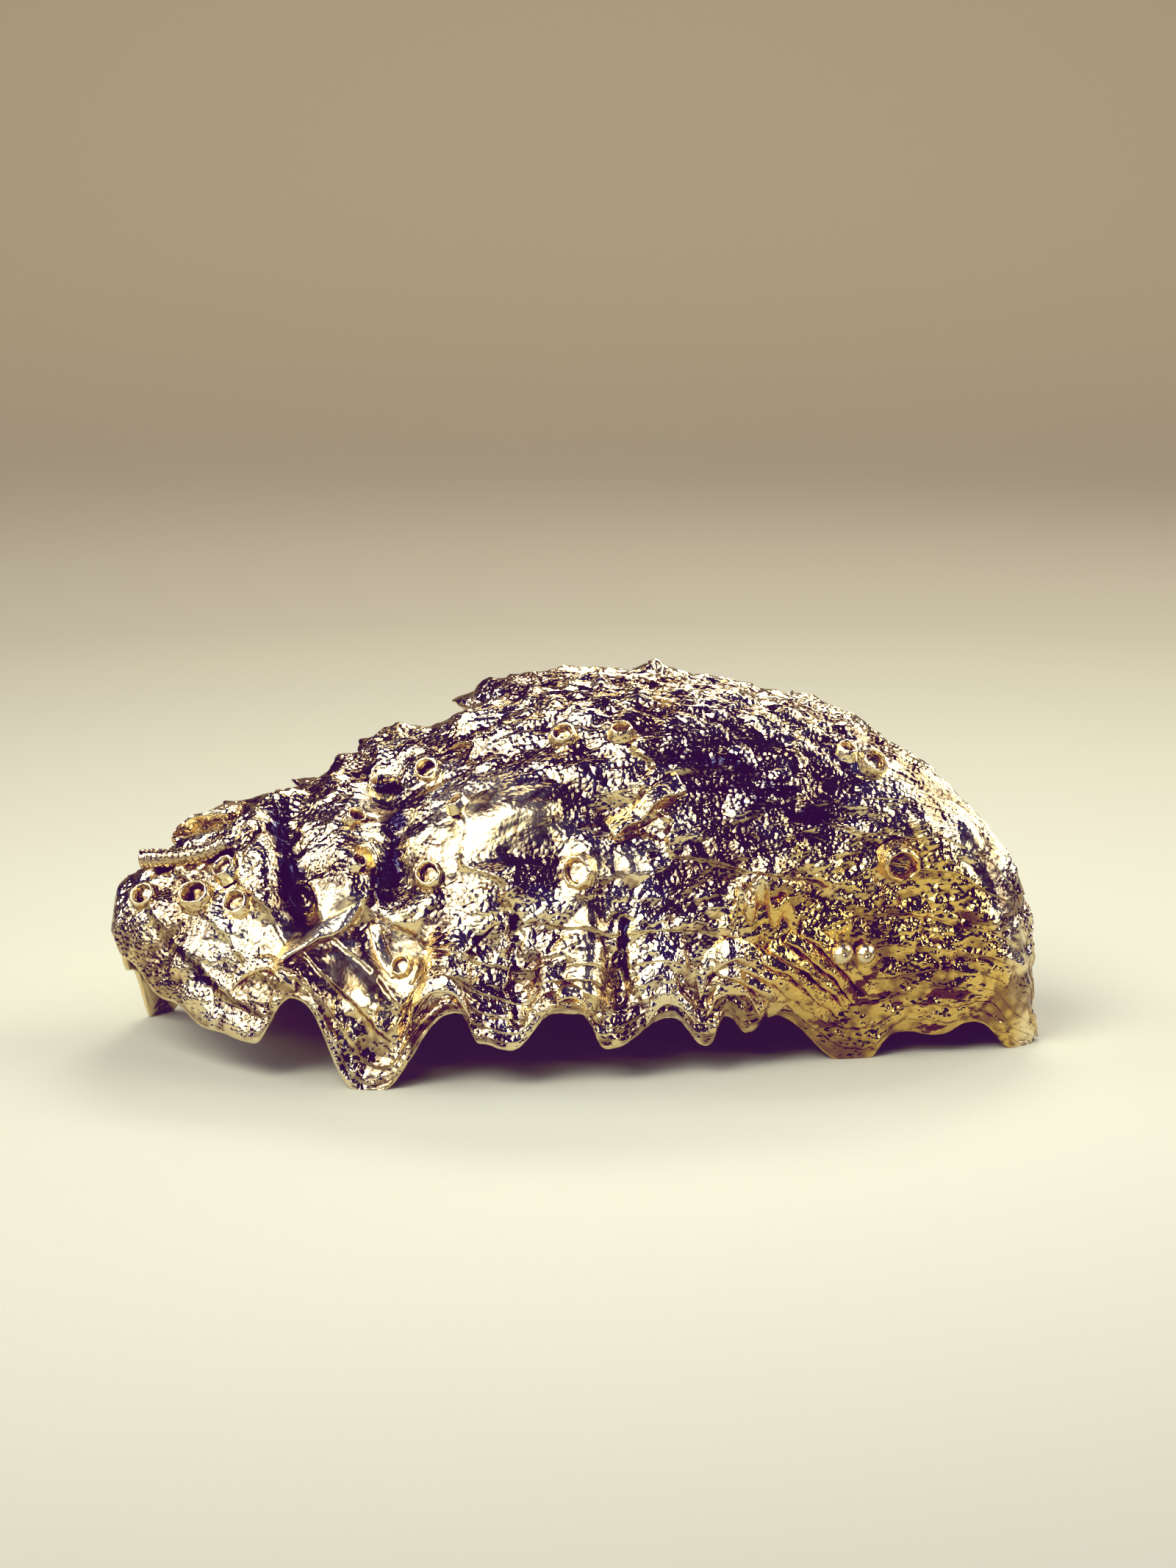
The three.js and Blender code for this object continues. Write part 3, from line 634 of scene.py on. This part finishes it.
def reliefHeight(p):
    height = np.zeros(p.shape[:-1])
    for lump in lumps:
        height += lump["height"] * bell(np.linalg.norm(p - lump["centre"], axis=-1), lump["radius"])
    for rib in ribs:
        height += rib["height"] * bell(distanceToPath(p, rib["spots"]), rib["width"])
    for crease in creases:
        height -= crease["depth"] * bell(distanceToPath(p, crease["spots"]), crease["width"])
    return height


# how much painted shade and painted dark reflection lies on the plating
def darkness(p):
    dark = np.zeros(p.shape[:-1])
    for patch in darkPatches:
        dark = np.maximum(dark, patch["dark"] * bell(distanceToPath(p, patch["spots"]), patch["width"]))
    return dark


# painted shade: how brown the outside is painted in its creases and under the loose layers, where shade falls
def brownness(p):
    brown = np.zeros(p.shape[:-1])
    for crease in creases:
        share = bell(distanceToPath(p, crease["spots"]), crease["width"])
        brown = np.maximum(brown, crease["brown"] * share)
    for place in scale["places"]:
        share = bell(distanceToPath(p, place["shade"]), scale["shadeBelow"])
        brown = np.maximum(brown, scale["shadeBrown"] * share)
    return brown


# a painted reflection of the table: deeper gold painted low down towards the beak, but not on the beak's own
# edge
reflectedGoldArea = {
    "towardsBeak": (14, 22),  # x where it starts, and how far it takes to come in
    "below": (34, 20),  # likewise down from this height
    "beakEdge": (58.5, 5),
    "edgeSlope": 0.2,
    "waves": ((5, 3), (1.8, 2)),  # size and reach of the noise in its outline
}


def reflectedGoldShare(p):
    wave = sum(reach * lumpy(p, size, 31 + n) for n, (size, reach) in enumerate(reflectedGoldArea["waves"]))
    x, z = p[:, 0], p[:, 2]
    start, fadeIn = reflectedGoldArea["towardsBeak"]
    top, fadeUp = reflectedGoldArea["below"]
    edge, fadeOut = reflectedGoldArea["beakEdge"]
    share = smooth((x + wave - start) / fadeIn) * smooth((top + 1.5 * wave - z) / fadeUp)
    return share * smooth((edge - x - reflectedGoldArea["edgeSlope"] * z) / fadeOut)


def smoothness(p):
    rough = np.ones(p.shape[:-1])
    for area in smoothAreas:
        rough *= 1 - area["by"] * bell(np.linalg.norm(p - area["centre"], axis=-1), area["radius"])
    return 1 - rough


# the whole outside as rows x columns of points, with how much painted shade each takes, most low among the
# grains and in the brown creases
def outerSurface(places):
    rows = growthRows()
    q = np.array([r[0] for r in rows])[:, None]
    lift = np.array([r[2] for r in rows])[:, None]
    tuck = np.array([r[3] for r in rows])[:, None]
    t = places[None, :]
    rim = bodyPoints(places, 1)
    size, bite = roughness["bites"]
    edges = np.stack(np.broadcast_arrays(rim[None, :, 0] / size, rim[None, :, 1] / size, q * 9), axis=-1)
    broken = lumpy(edges, 1, 3) + 0.5 * lumpy(edges, 0.35, 4)
    step = np.array([ledgeStep(r[1], places) if r[1] else 0 * places for r in rows])
    step = step * np.clip(0.7 + 1.4 * lumpy(edges, 1.2, 5), 0, 1.5)
    middle = np.sin(math.pi * q)  # ledges stray most halfway down
    wander = roughness["ledgeWaves"] * middle * np.sin(20 * t + 7 * q) * np.sin(43 * t)
    wander = wander + bite * middle * broken
    share = np.clip(q - tuck * np.minimum(1, step) / shell["meanRay"] + wander, 0, 1)
    p = bodyPoints(t, share)
    normal = bodyNormals(t, share)
    fromRim = np.linalg.norm(p - rim[None], axis=-1)
    height = step * lift + reliefHeight(p) * smooth(fromRim / 3)

    # each layer of relief is counted from about its mean, so that the shell keeps its size
    rough = (1 - smoothness(p)) * smooth(fromRim / 2 + 0.2)
    rough *= 1 + roughness["crestMore"] * smooth((normal[..., 2] - 0.55) / 0.4)
    size, reach = roughness["warp"]
    warped = p + reach * np.stack([lumpy(p, size, s) for s in (11, 12, 13)], axis=-1)
    size, tall = roughness["facets"]
    facets = np.abs(lumpy(warped, size, 1)) + 0.5 * np.abs(lumpy(warped, size / 2, 2))
    height += tall * (facets - 0.45) * smooth(fromRim / 4 + 0.1) * (0.4 + 0.6 * rough)
    size, tall = roughness["knobs"]
    height += tall * (grains(warped, size, 1) - 0.6) * rough
    size, tall = roughness["grains"]
    grain = grains(warped, size, 2) * (0.5 + 0.7 * smooth(lumpy(p, 7, 6) + 0.6))
    height += tall * (grain - 0.6) * rough
    spacing, tall = roughness["lines"]
    size, reach = roughness["lineWaves"]
    phase = share * roughness["lineSpan"] / spacing + reach * lumpy(p, size, 7)
    saw = phase - np.floor(phase)
    height += tall * saw * smooth(fromRim / 1.5) * smooth(lumpy(p, 6, 8) * 1.6 + 0.5)
    # painted shade, darker low between the grains and brown in the creases and under the loose layers
    shadeDepth = np.maximum(smooth(1.2 - 1.3 * grain * (0.4 + facets)), brownness(p))
    return p + normal * height[..., None], shadeDepth, q[:, 0]


# the wall of the hollow, whose own rays run from the crown to the rim
def innerSurface(places, q):
    wall = mix(shell["crownWall"], shell["rimWall"], q**2)
    p = bodyPoints(places, q, shell["crown"])
    normal = bodyNormals(places, q, shell["crown"])
    ripples = sum(tall * lumpy(p, size, 21 + n) for n, (size, tall) in enumerate(roughness["innerWaves"]))
    return p - normal * (wall + ripples * smooth((1 - q) * 6))[..., None]


# a piece with what its material reads: painted shade in creases, a painted reflection of the table in deeper
# gold, near-black painted shade and dark reflections in some valleys, and how even the smooth places are. The
# last two arguments are the least evenness and the share of that painted reflection
def addMesh(name, points, faces, shadeDepth, even=0, reflectedTint=1):
    mesh = bpy.data.meshes.new(name)
    points = np.array(points)
    mesh.from_pydata(toFrame(points).tolist(), [], faces)
    mesh.shade_smooth()
    values = {
        "shadeDepth": shadeDepth,
        "reflectedGold": reflectedTint * reflectedGoldShare(points),
        "dark": darkness(points),
        "even": np.maximum(smoothness(points), even),
    }
    for key, value in values.items():
        data = mesh.attributes.new(key, "FLOAT", "POINT").data
        data.foreach_set("value", np.asarray(value, dtype=np.float32))
    piece = bpy.data.objects.new(name, mesh)
    bpy.context.collection.objects.link(piece)
    return piece


def makeShell():
    places = columnPlaces(shell["columns"])
    outer, deepness, shares = outerSurface(places)
    points, rings, shadeDepth = [], [], [0.0]
    addRing(points, rings, bodyPoints(np.array([1.0]), 0))
    for row, depth, q in zip(outer, deepness, shares):
        step = next((every for end, every in shell["sparse"] if q < end), 1)
        addRing(points, rings, row[::step])
        shadeDepth.extend(depth[::step])
    # rounded lip of the rim
    inner = innerSurface(places, np.array(1.0))
    rim = outer[-1]
    middle, half = (rim + inner) / 2, (rim - inner) / 2
    down = unit(bodyPoints(places, 1) - bodyPoints(places, 0.985)) * np.linalg.norm(half, axis=1)[:, None]
    for angle in np.radians([30, 60, 90, 120, 150]):
        addRing(points, rings, middle + half * np.cos(angle) + down * np.sin(angle))
    for i in range(shell["innerRows"], 0, -1):
        q = (i / shell["innerRows"]) ** 0.8
        addRing(points, rings, innerSurface(places, np.array(q))[::1 if q > 0.9 else 2])
    addRing(points, rings, innerSurface(np.array([1.0]), np.array(0.0)))
    shadeDepth.extend([0.0] * (len(points) - len(shadeDepth)))
    points = np.array(points)
    points[:, 2] = np.maximum(points[:, 2], 0)  # the feet are worn flat
    faces = closedRings(rings)
    tree = BVHTree.FromPolygons(points.tolist(), faces)
    return addMesh("oysterShell", points, faces, shadeDepth), tree


placeRelief()
oysterShell, shellTree = makeShell()
print("shell made:", len(oysterShell.data.vertices), "points")


def makeBarnacles(settings, tree):
    # share of the radius and of the height, from the skirt over the rim into the crater
    profile = [(1.2, -0.8), (1.1, -0.2), (1, 0.3), (0.92, 0.7), (0.84, 0.96), (0.77, 1), (0.71, 0.9),
               (settings["crater"], 0.5), (0.58, 0.05), (0.5, -0.3), (0.45, -0.6)]
    angle = turnAngles(settings["segments"])
    points, faces, shadeDepth = [], [], []
    for number, place in enumerate(settings["places"]):
        spot, normal = seenAt(tree, place["at"], place.get("far"))
        sides = sidesOf(normal, (0.3, 0.2, 1))
        ribbing = 1 - settings["ribDepth"] * np.abs(np.sin(angle * settings["ribs"] / 2 + number))
        oval = 1 + settings["oval"] * np.sin(2 * angle + number)
        rings = []
        for out, up in profile:
            radius = place["radius"] * out * oval * mix(ribbing, 1, 1 - smooth(out * 2 - 0.7))
            wave = settings["wavyRim"] * np.sin(3 * angle + number * 2) * (up > 0.5)
            height = settings["proud"] + place["height"] * (up + wave)
            addRing(points, rings, circle(spot, sides, radius, angle) + normal * height[:, None])
            # painted shade inside the crater
            shadeDepth.extend([1.0 if out < 0.6 else 0.0] * len(angle))
        faces += closedRings(rings) + [tuple(rings[-1])]
    return addMesh("barnacles", points, faces, shadeDepth)


barnacles = makeBarnacles(barnacle, shellTree)

# the two bright blisters near the beak
blister = {
    "places": [(33, 11), (36.1, 11.1)],
    "radii": (1.5, 1.4),
    "proud": 1.1,  # how far the middle stands above the shell
    "oval": 0.05,
    "segments": 24,
    "even": 0.6,
}


def makeBlisters(settings, tree):
    points, faces = [], []
    angle = turnAngles(settings["segments"])
    for at, radius in zip(settings["places"], settings["radii"]):
        spot, normal = seenAt(tree, at)
        sides = sidesOf(normal, (0.1, 0.2, 1))
        rings = []
        for polar in np.radians([100, 80, 62, 45, 30, 15]):
            out = radius * math.sin(polar) * (1 + settings["oval"] * np.sin(2 * angle))
            up = radius * math.cos(polar) + settings["proud"]
            addRing(points, rings, circle(spot, sides, out, angle) + normal * up)
        faces += closedRings(rings) + [tuple(rings[-1])]
    return addMesh("blisters", points, faces, np.zeros(len(points)), settings["even"], 0)


blisters = makeBlisters(blister, shellTree)

# the limy tube of a worm at the bill
wormTube = {
    "from": (-55.8, 21.3),
    "to": (-44.6, 24),
    "radius": 1.25,
    "proud": 0.9,
    "taper": 0.18,  # share of the radius lost by its end
    "sway": 0.35,
    "ringSpacing": 0.85,
    "ringHeight": 0.09,
    "segments": 24,
    "sections": 90,
    # painted brown shade over the whole tube
    "shadeDepth": 0.75,
    "even": 0.2,
}


def makeWormTube(settings, tree):
    shares = np.linspace(0, 1, settings["sections"])
    knots = np.linspace(0, 1, 7)
    ends = np.array(settings["from"]), np.array(settings["to"])
    path = []
    for s in knots:
        spot, normal = seenAt(tree, mix(*ends, s) + (0, settings["sway"] * math.sin(s * 7)))
        path.append(spot + normal * settings["proud"])
    path = np.array(path)
    path[0] = path[1] + (path[1] - path[2])  # the open end stands free
    fit = [np.polynomial.polynomial.Polynomial.fit(knots, path[:, k], 3) for k in range(3)]
    centres = np.stack([f(shares) for f in fit], axis=-1)
    length = np.linalg.norm(centres[-1] - centres[0])
    tangents = unit(np.gradient(centres, axis=0))
    side = unit(np.cross(tangents, (0, 0, 1)))
    other = np.cross(side, tangents)
    angle = turnAngles(settings["segments"])
    points, rings = [], []
    turns = length / settings["ringSpacing"] * 2 * math.pi
    radii = settings["radius"] * (1 - settings["taper"] * shares)
    radii = radii + settings["ringHeight"] * np.sin(shares * turns) ** 3
    mouth = [(0.55, 1.6), (0.62, 0.2), (0.85, 0.0)]  # share of the radius and depth inside the open end
    sections = [(centres[0] + tangents[0] * depth, radii[0] * share, 0) for share, depth in mouth]
    sections += [(c, r, i) for i, (c, r) in enumerate(zip(centres, radii))]
    for centre, radius, i in sections:
        addRing(points, rings, circle(centre, (side[i], other[i]), radius, angle))
    faces = closedRings(rings) + [tuple(rings[0]), tuple(rings[-1])]
    return addMesh("wormTube", points, faces, np.full(len(points), settings["shadeDepth"]), settings["even"])


tube = makeWormTube(wormTube, shellTree)


def splinePath(path, pitch):
    path = np.array(path, dtype=float)
    ends = np.concatenate([[2 * path[0] - path[1]], path, [2 * path[-1] - path[-2]]])
    pieces = []
    for a, b, c, d in zip(ends, ends[1:], ends[2:], ends[3:]):
        count = max(2, round(np.linalg.norm(c - b) / pitch))
        pieces.append(spline(a, b, c, d, (np.arange(count) / count)[:, None]))
    return np.concatenate([*pieces, path[-1:]])


def makeScales(settings, tree):
    # across a scale: share of its length back from the edge, share of its lift, share of its edge below that,
    # and how much painted shade it takes, most on its underside
    profile = [(1, -0.1, 0.5, 0), (0.75, 0.35, 0, 0), (0.5, 0.62, 0, 0), (0.25, 0.85, 0, 0),
               (0.08, 0.98, 0, 0), (0, 0.98, 0.3, 0), (0, 0.98, 0.8, 0.1), (0.1, 0.95, 1, 0.4),
               (0.25, 0.4, 1.2, 0.9), (0.3, -0.6, 1.2, 1)]
    biteSize, bite = settings["ragged"]
    tip, bluntness = settings["tip"]
    evening = np.array([1, 2, 3, 2, 1]) / 9  # weights of neighbouring sections
    points, faces, shadeDepth = [], [], []
    for number, place in enumerate(settings["places"]):
        seen = splinePath(place["path"], settings["pitch"])
        facing = unit(np.array(place["faces"], dtype=float))
        far, length, thick = (place.get(key, settings.get(key)) for key in ("far", "length", "edge"))
        count = len(seen)
        taper = np.sin(math.pi * np.linspace(tip, 1 - tip, count)) ** bluntness
        sections = []
        for s, fade in zip(seen, taper):
            ragged = bite * noise.noise(Vector((s[0] / biteSize, s[1] / biteSize, number)))
            edge, normal = seenAt(tree, s + facing * ragged, far)
            root, rootNormal = seenAt(tree, s - facing * length, far)
            section = []
            for back, lift, below, _ in profile:
                up = mix(normal, rootNormal, back)
                height = place["lift"] * fade * lift - thick * below
                section.append(mix(edge, root, back) + up * height)
            sections.append(section)
        sections = np.array(sections)
        padded = np.concatenate([sections[:1]] * 2 + [sections] + [sections[-1:]] * 2)
        sections = sum(w * padded[k:k + count] for k, w in enumerate(evening))
        rings = []
        for section in sections:
            addRing(points, rings, section)
            shadeDepth.extend(depth for _, _, _, depth in profile)
        faces += closedRings(rings) + [tuple(rings[0]), tuple(rings[-1])]
    return addMesh("looseScales", points, faces, shadeDepth)


scales = makeScales(scale, shellTree)
print("growths made")


# an sRGB colour as linear red, green, blue and a full alpha
def hexToLinear(code):
    channels = [int(code[i:i + 2], 16) / 255 for i in (1, 3, 5)]
    return (*[c / 12.92 if c <= 0.04045 else ((c + 0.055) / 1.055) ** 2.4 for c in channels], 1)


def addNode(tree, kind, values=None, links=None, **settings):
    node = tree.nodes.new(kind)
    for name, value in settings.items():
        setattr(node, name, value)
    for socket, value in (values or {}).items():
        node.inputs[socket].default_value = value
    for socket, source in (links or {}).items():
        tree.links.new(source, node.inputs[socket])
    return node


def newMaterial(name):
    material = bpy.data.materials.new(name)
    material.use_nodes = True
    material.node_tree.nodes.clear()
    return material, material.node_tree


# electroplated gold over a rough shell: mirror bright on every grain, so each one throws its own highlight,
# pale and deeper gold in random patches. Painted on top are a deeper gold low towards the beak as a painted
# reflection of the table, a browner gold in the creases as painted shade with some grime, and near-black
# painted shade and dark reflections in some valleys. Sizes are in mm
gilding = {
    "pale": "#F5EBCB",
    "gold": "#DFC06C",
    # brown of the painted shade in the creases, with some grime, and of the streaks
    "brown": "#5C3D1C",
    # near-black of the painted shade and painted dark reflections
    "dark": "#262731",
    "grimeAndShadeFrom": 0.45,  # how deep a crease lies before its painted shade and grime start in it
    "grimeAndShade": 0.75,
    "streaking": 0.95,
    "streakEdge": (0.52, 0.58),  # the share of the pattern where streaks start and are full
    "shadeEdge": 0.08,  # how soft the edges of the painted dark spots are
    "streakLength": 0.35,  # squeezes the streaks' pattern, so that they run down towards the beak's foot
    "streakSlope": -38,  # degrees
    "roughness": (0.08, 0.2),
    "satin": 0.32,  # roughness of the even places
    "bumpStrength": (0.85, 0.08),  # of the grains on rough and on even places
    "fineStrength": 0.6,
    "grain": 0.7,
    "fineGrain": 0.4,
    "patches": 8,
    "streaks": 2.2,
    "bump": 0.17,
}


def polishedGoldPlate(settings):
    material, tree = newMaterial("polishedGoldPlate")
    place = addNode(tree, "ShaderNodeTexCoord").outputs["Object"]
    shadeDepth, reflectedGold, paintedShade, even = (
        addNode(tree, "ShaderNodeAttribute", attribute_name=name).outputs["Fac"]
        for name in ("shadeDepth", "reflectedGold", "dark", "even")
    )

    # pale and deeper gold in random patches, and the deeper gold painted low down towards the beak as a
    # painted reflection of the table
    patches = addNode(tree, "ShaderNodeTexNoise", {"Scale": 1000 / settings["patches"], "Detail": 4},
                      {"Vector": place}).outputs["Fac"]
    share = addNode(tree, "ShaderNodeMath", links={0: patches, 1: reflectedGold}, operation="ADD")
    tones = addNode(tree, "ShaderNodeMix",
                    {6: hexToLinear(settings["pale"]), 7: hexToLinear(settings["gold"])},
                    {0: share.outputs[0]}, data_type="RGBA")

    # painted shade with some grime in the creases, and brown streaks on the painted reflected gold
    grimeAndShade = addNode(tree, "ShaderNodeMapRange",
                    {"From Min": settings["grimeAndShadeFrom"], "From Max": 1.0, "To Max": settings["grimeAndShade"]},
                    {"Value": shadeDepth})
    turn = (0, math.radians(settings["streakSlope"]), 0)
    along = addNode(tree, "ShaderNodeMapping", {"Rotation": turn, "Scale": (settings["streakLength"], 1, 1)},
                    {"Vector": place})
    streaks = addNode(tree, "ShaderNodeTexNoise",
                     {"Scale": 1000 / settings["streaks"], "Detail": 6, "Roughness": 0.7},
                     {"Vector": along.outputs[0]}).outputs["Fac"]
    start, full = settings["streakEdge"]
    spots = addNode(tree, "ShaderNodeMapRange",
                    {"From Min": start, "From Max": full, "To Max": settings["streaking"]}, {"Value": streaks})
    streaked = addNode(tree, "ShaderNodeMath", links={0: spots.outputs[0], 1: reflectedGold}, operation="MULTIPLY")
    brownShare = addNode(tree, "ShaderNodeMath", links={0: grimeAndShade.outputs[0], 1: streaked.outputs[0]},
                   operation="MAXIMUM")
    colour = addNode(tree, "ShaderNodeMix", {7: hexToLinear(settings["brown"])},
                     {0: brownShare.outputs[0], 6: tones.outputs[2]}, data_type="RGBA")

    # near-black painted shade and painted dark reflections in some valleys, with a ragged edge
    shadeOverNoise = addNode(tree, "ShaderNodeMath", links={0: paintedShade, 1: streaks}, operation="SUBTRACT")
    edge = settings["shadeEdge"]
    shadeShare = addNode(tree, "ShaderNodeMapRange", {"From Min": -edge, "From Max": edge},
                     {"Value": shadeOverNoise.outputs[0]})
    shaded = addNode(tree, "ShaderNodeMix", {7: hexToLinear(settings["dark"])},
                     {0: shadeShare.outputs[0], 6: colour.outputs[2]}, data_type="RGBA")

    # polished in places and satin where the shell is even
    low, high = settings["roughness"]
    gloss = addNode(tree, "ShaderNodeMapRange", {"To Min": low, "To Max": high}, {"Value": patches})
    satin = addNode(tree, "ShaderNodeMix", {3: settings["satin"]}, {0: even, 2: gloss.outputs[0]})

    # the finest grains
    grain = addNode(tree, "ShaderNodeTexVoronoi", {"Scale": 1000 / settings["grain"]}, {"Vector": place})
    fine = addNode(tree, "ShaderNodeTexNoise", {"Scale": 1000 / settings["fineGrain"], "Detail": 2},
                   {"Vector": place})
    rough, smoothed = settings["bumpStrength"]
    strength = addNode(tree, "ShaderNodeMapRange", {"To Min": rough, "To Max": smoothed}, {"Value": even})
    coarse = addNode(tree, "ShaderNodeBump", {"Distance": settings["bump"] / 1000},
                     {"Height": grain.outputs["Distance"], "Strength": strength.outputs[0]}, invert=True)
    bump = addNode(tree, "ShaderNodeBump",
                   {"Strength": settings["fineStrength"], "Distance": settings["bump"] / 2000},
                   {"Height": fine.outputs["Fac"], "Normal": coarse.outputs[0]})
    surface = addNode(tree, "ShaderNodeBsdfPrincipled", {"Metallic": 1.0},
                      {"Base Color": shaded.outputs[2], "Roughness": satin.outputs[0],
                       "Normal": bump.outputs[0]})
    addNode(tree, "ShaderNodeOutputMaterial", links={"Surface": surface.outputs[0]})
    return material


# unglazed background paper: matt cream with a faint fibre, painted duller away from the shell as a painted
# pool of light, like a lamp's
paper = {
    "cream": "#C6C5AB",
    "dull": "#A09A80",
    "pool": (0, -0.03, 0),  # middle and reach of the pool in metres
    "reach": 0.34,
    "fibres": 900,  # to the metre
    "roughness": 0.85,
}


def mattCreamPaper(settings):
    material, tree = newMaterial("mattCreamPaper")
    place = addNode(tree, "ShaderNodeTexCoord").outputs["Object"]
    fibre = addNode(tree, "ShaderNodeTexNoise", {"Scale": settings["fibres"], "Detail": 3},
                    {"Vector": place})
    bump = addNode(tree, "ShaderNodeBump", {"Strength": 0.15, "Distance": 0.0001},
                   {"Height": fibre.outputs["Fac"]})
    away = addNode(tree, "ShaderNodeVectorMath", {1: settings["pool"]}, {0: place}, operation="DISTANCE")
    share = addNode(tree, "ShaderNodeMapRange", {"From Max": settings["reach"]},
                    {"Value": away.outputs["Value"]})
    colour = addNode(tree, "ShaderNodeMix",
                     {6: hexToLinear(settings["cream"]), 7: hexToLinear(settings["dull"])},
                     {0: share.outputs[0]}, data_type="RGBA")
    surface = addNode(tree, "ShaderNodeBsdfPrincipled", {"Roughness": settings["roughness"]},
                      {"Base Color": colour.outputs[2], "Normal": bump.outputs[0]})
    addNode(tree, "ShaderNodeOutputMaterial", links={"Surface": surface.outputs[0]})
    return material


goldPlate = polishedGoldPlate(gilding)
for piece in (oysterShell, barnacles, blisters, tube, scales):
    piece.data.materials.append(goldPlate)
    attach(piece, "root")
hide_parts("oyster_shell")
print("gilding done")

# a sweep of paper, in metres: flat table, then a curve up to a wall
backdrop = {"halfWidth": 1.6, "front": -1.6, "bend": 0.9, "bendRadius": 0.5, "top": 1.6}


def makeBackdrop(settings):
    radius = settings["bendRadius"]
    outline = [(settings["front"], 0), (settings["bend"], 0)]
    for angle in np.radians(range(6, 91, 6)):
        outline.append((settings["bend"] + radius * math.sin(angle), radius * (1 - math.cos(angle))))
    outline.append((settings["bend"] + radius, settings["top"]))
    points = [(side * settings["halfWidth"], y, z) for y, z in outline for side in (-1, 1)]
    faces = [(i, i + 1, i + 3, i + 2) for i in range(0, len(points) - 2, 2)]
    mesh = bpy.data.meshes.new("paperSweep")
    mesh.from_pydata(points, [], faces)
    mesh.shade_smooth()
    mesh.materials.append(mattCreamPaper(paper))
    piece = bpy.data.objects.new("paperSweep", mesh)
    bpy.context.collection.objects.link(piece)
    return piece


makeBackdrop(backdrop)

# soft boxes and panels: watts, size and place in metres, spread in degrees. All but the last face the shell
lights = [
    {"name": "keyBox", "watts": 0.92, "size": (0.42, 0.42), "place": (-0.32, -0.4, 0.6), "spread": 75},
    {"name": "frontPanel", "watts": 4, "size": (1, 0.75), "place": (-0.42, -0.56, 0.52), "spread": 180},
    {"name": "leftBox", "watts": 0.5, "size": (0.25, 0.35), "place": (-0.7, 0.1, 0.4), "spread": 90},
    {"name": "backBox", "watts": 0.6, "size": (0.32, 0.13), "place": (0.08, 0.55, 0.5), "spread": 90},
    {"name": "rightBox", "watts": 0.7, "size": (0.45, 0.4), "place": (0.55, 0.08, 0.42), "spread": 90},
    {"name": "sideBox", "watts": 0.11, "size": (0.12, 0.14), "place": (0.58, -0.3, 0.28), "spread": 90},
    {"name": "beakStrip", "watts": 0.4, "size": (0.2, 0.35), "place": (0.45, 0.42, 0.3), "spread": 90},
    {"name": "wallWash", "watts": 7.5, "size": (1.4, 0.3), "place": (0, 0.7, 1.1), "spread": 120,
     "aim": (0, 1.1, 0), "colour": "#FFF0D0"},
]
shellMiddle = (0, 0, 0.02)
room = {"colour": "#384A80", "strength": 0.8}

# how the print shows the dark: its purple blacks, as linear red, green and blue, and the toe of its curve.
# What is darker than the toe's first value comes out no more than the second above the blacks
printing = {"blacks": (0.028, 0.003, 0.042), "toe": (0.045, 0.006)}


def makeLights(entries):
    for entry in entries:
        data = bpy.data.lights.new(entry["name"], "AREA")
        data.shape = "RECTANGLE"
        data.size, data.size_y = entry["size"]
        data.energy = entry["watts"]
        data.color = hexToLinear(entry.get("colour", "#FFFFFF"))[:3]
        data.spread = math.radians(entry["spread"])
        lamp = bpy.data.objects.new(entry["name"], data)
        lamp.location = entry["place"]
        aim = Vector(entry.get("aim", shellMiddle)) - lamp.location
        lamp.rotation_euler = aim.to_track_quat("-Z", "Y").to_euler()
        bpy.context.collection.objects.link(lamp)


def makeRoom(settings):
    world = bpy.data.worlds.new("dimRoom")
    world.use_nodes = True
    background = world.node_tree.nodes["Background"]
    background.inputs["Color"].default_value = hexToLinear(settings["colour"])
    background.inputs["Strength"].default_value = settings["strength"]
    bpy.context.scene.world = world


def gradeView(settings):
    view = bpy.context.scene.view_settings
    view.view_transform = "Standard"
    view.use_curve_mapping = True
    below, above = settings["toe"]
    for curve, black in zip(view.curve_mapping.curves, settings["blacks"]):
        curve.points[0].location = (0, black)
        curve.points.new(below, black + above).handle_type = "VECTOR"
    view.curve_mapping.update()


makeLights(lights)
makeRoom(room)
gradeView(printing)
print("stage and lights done")
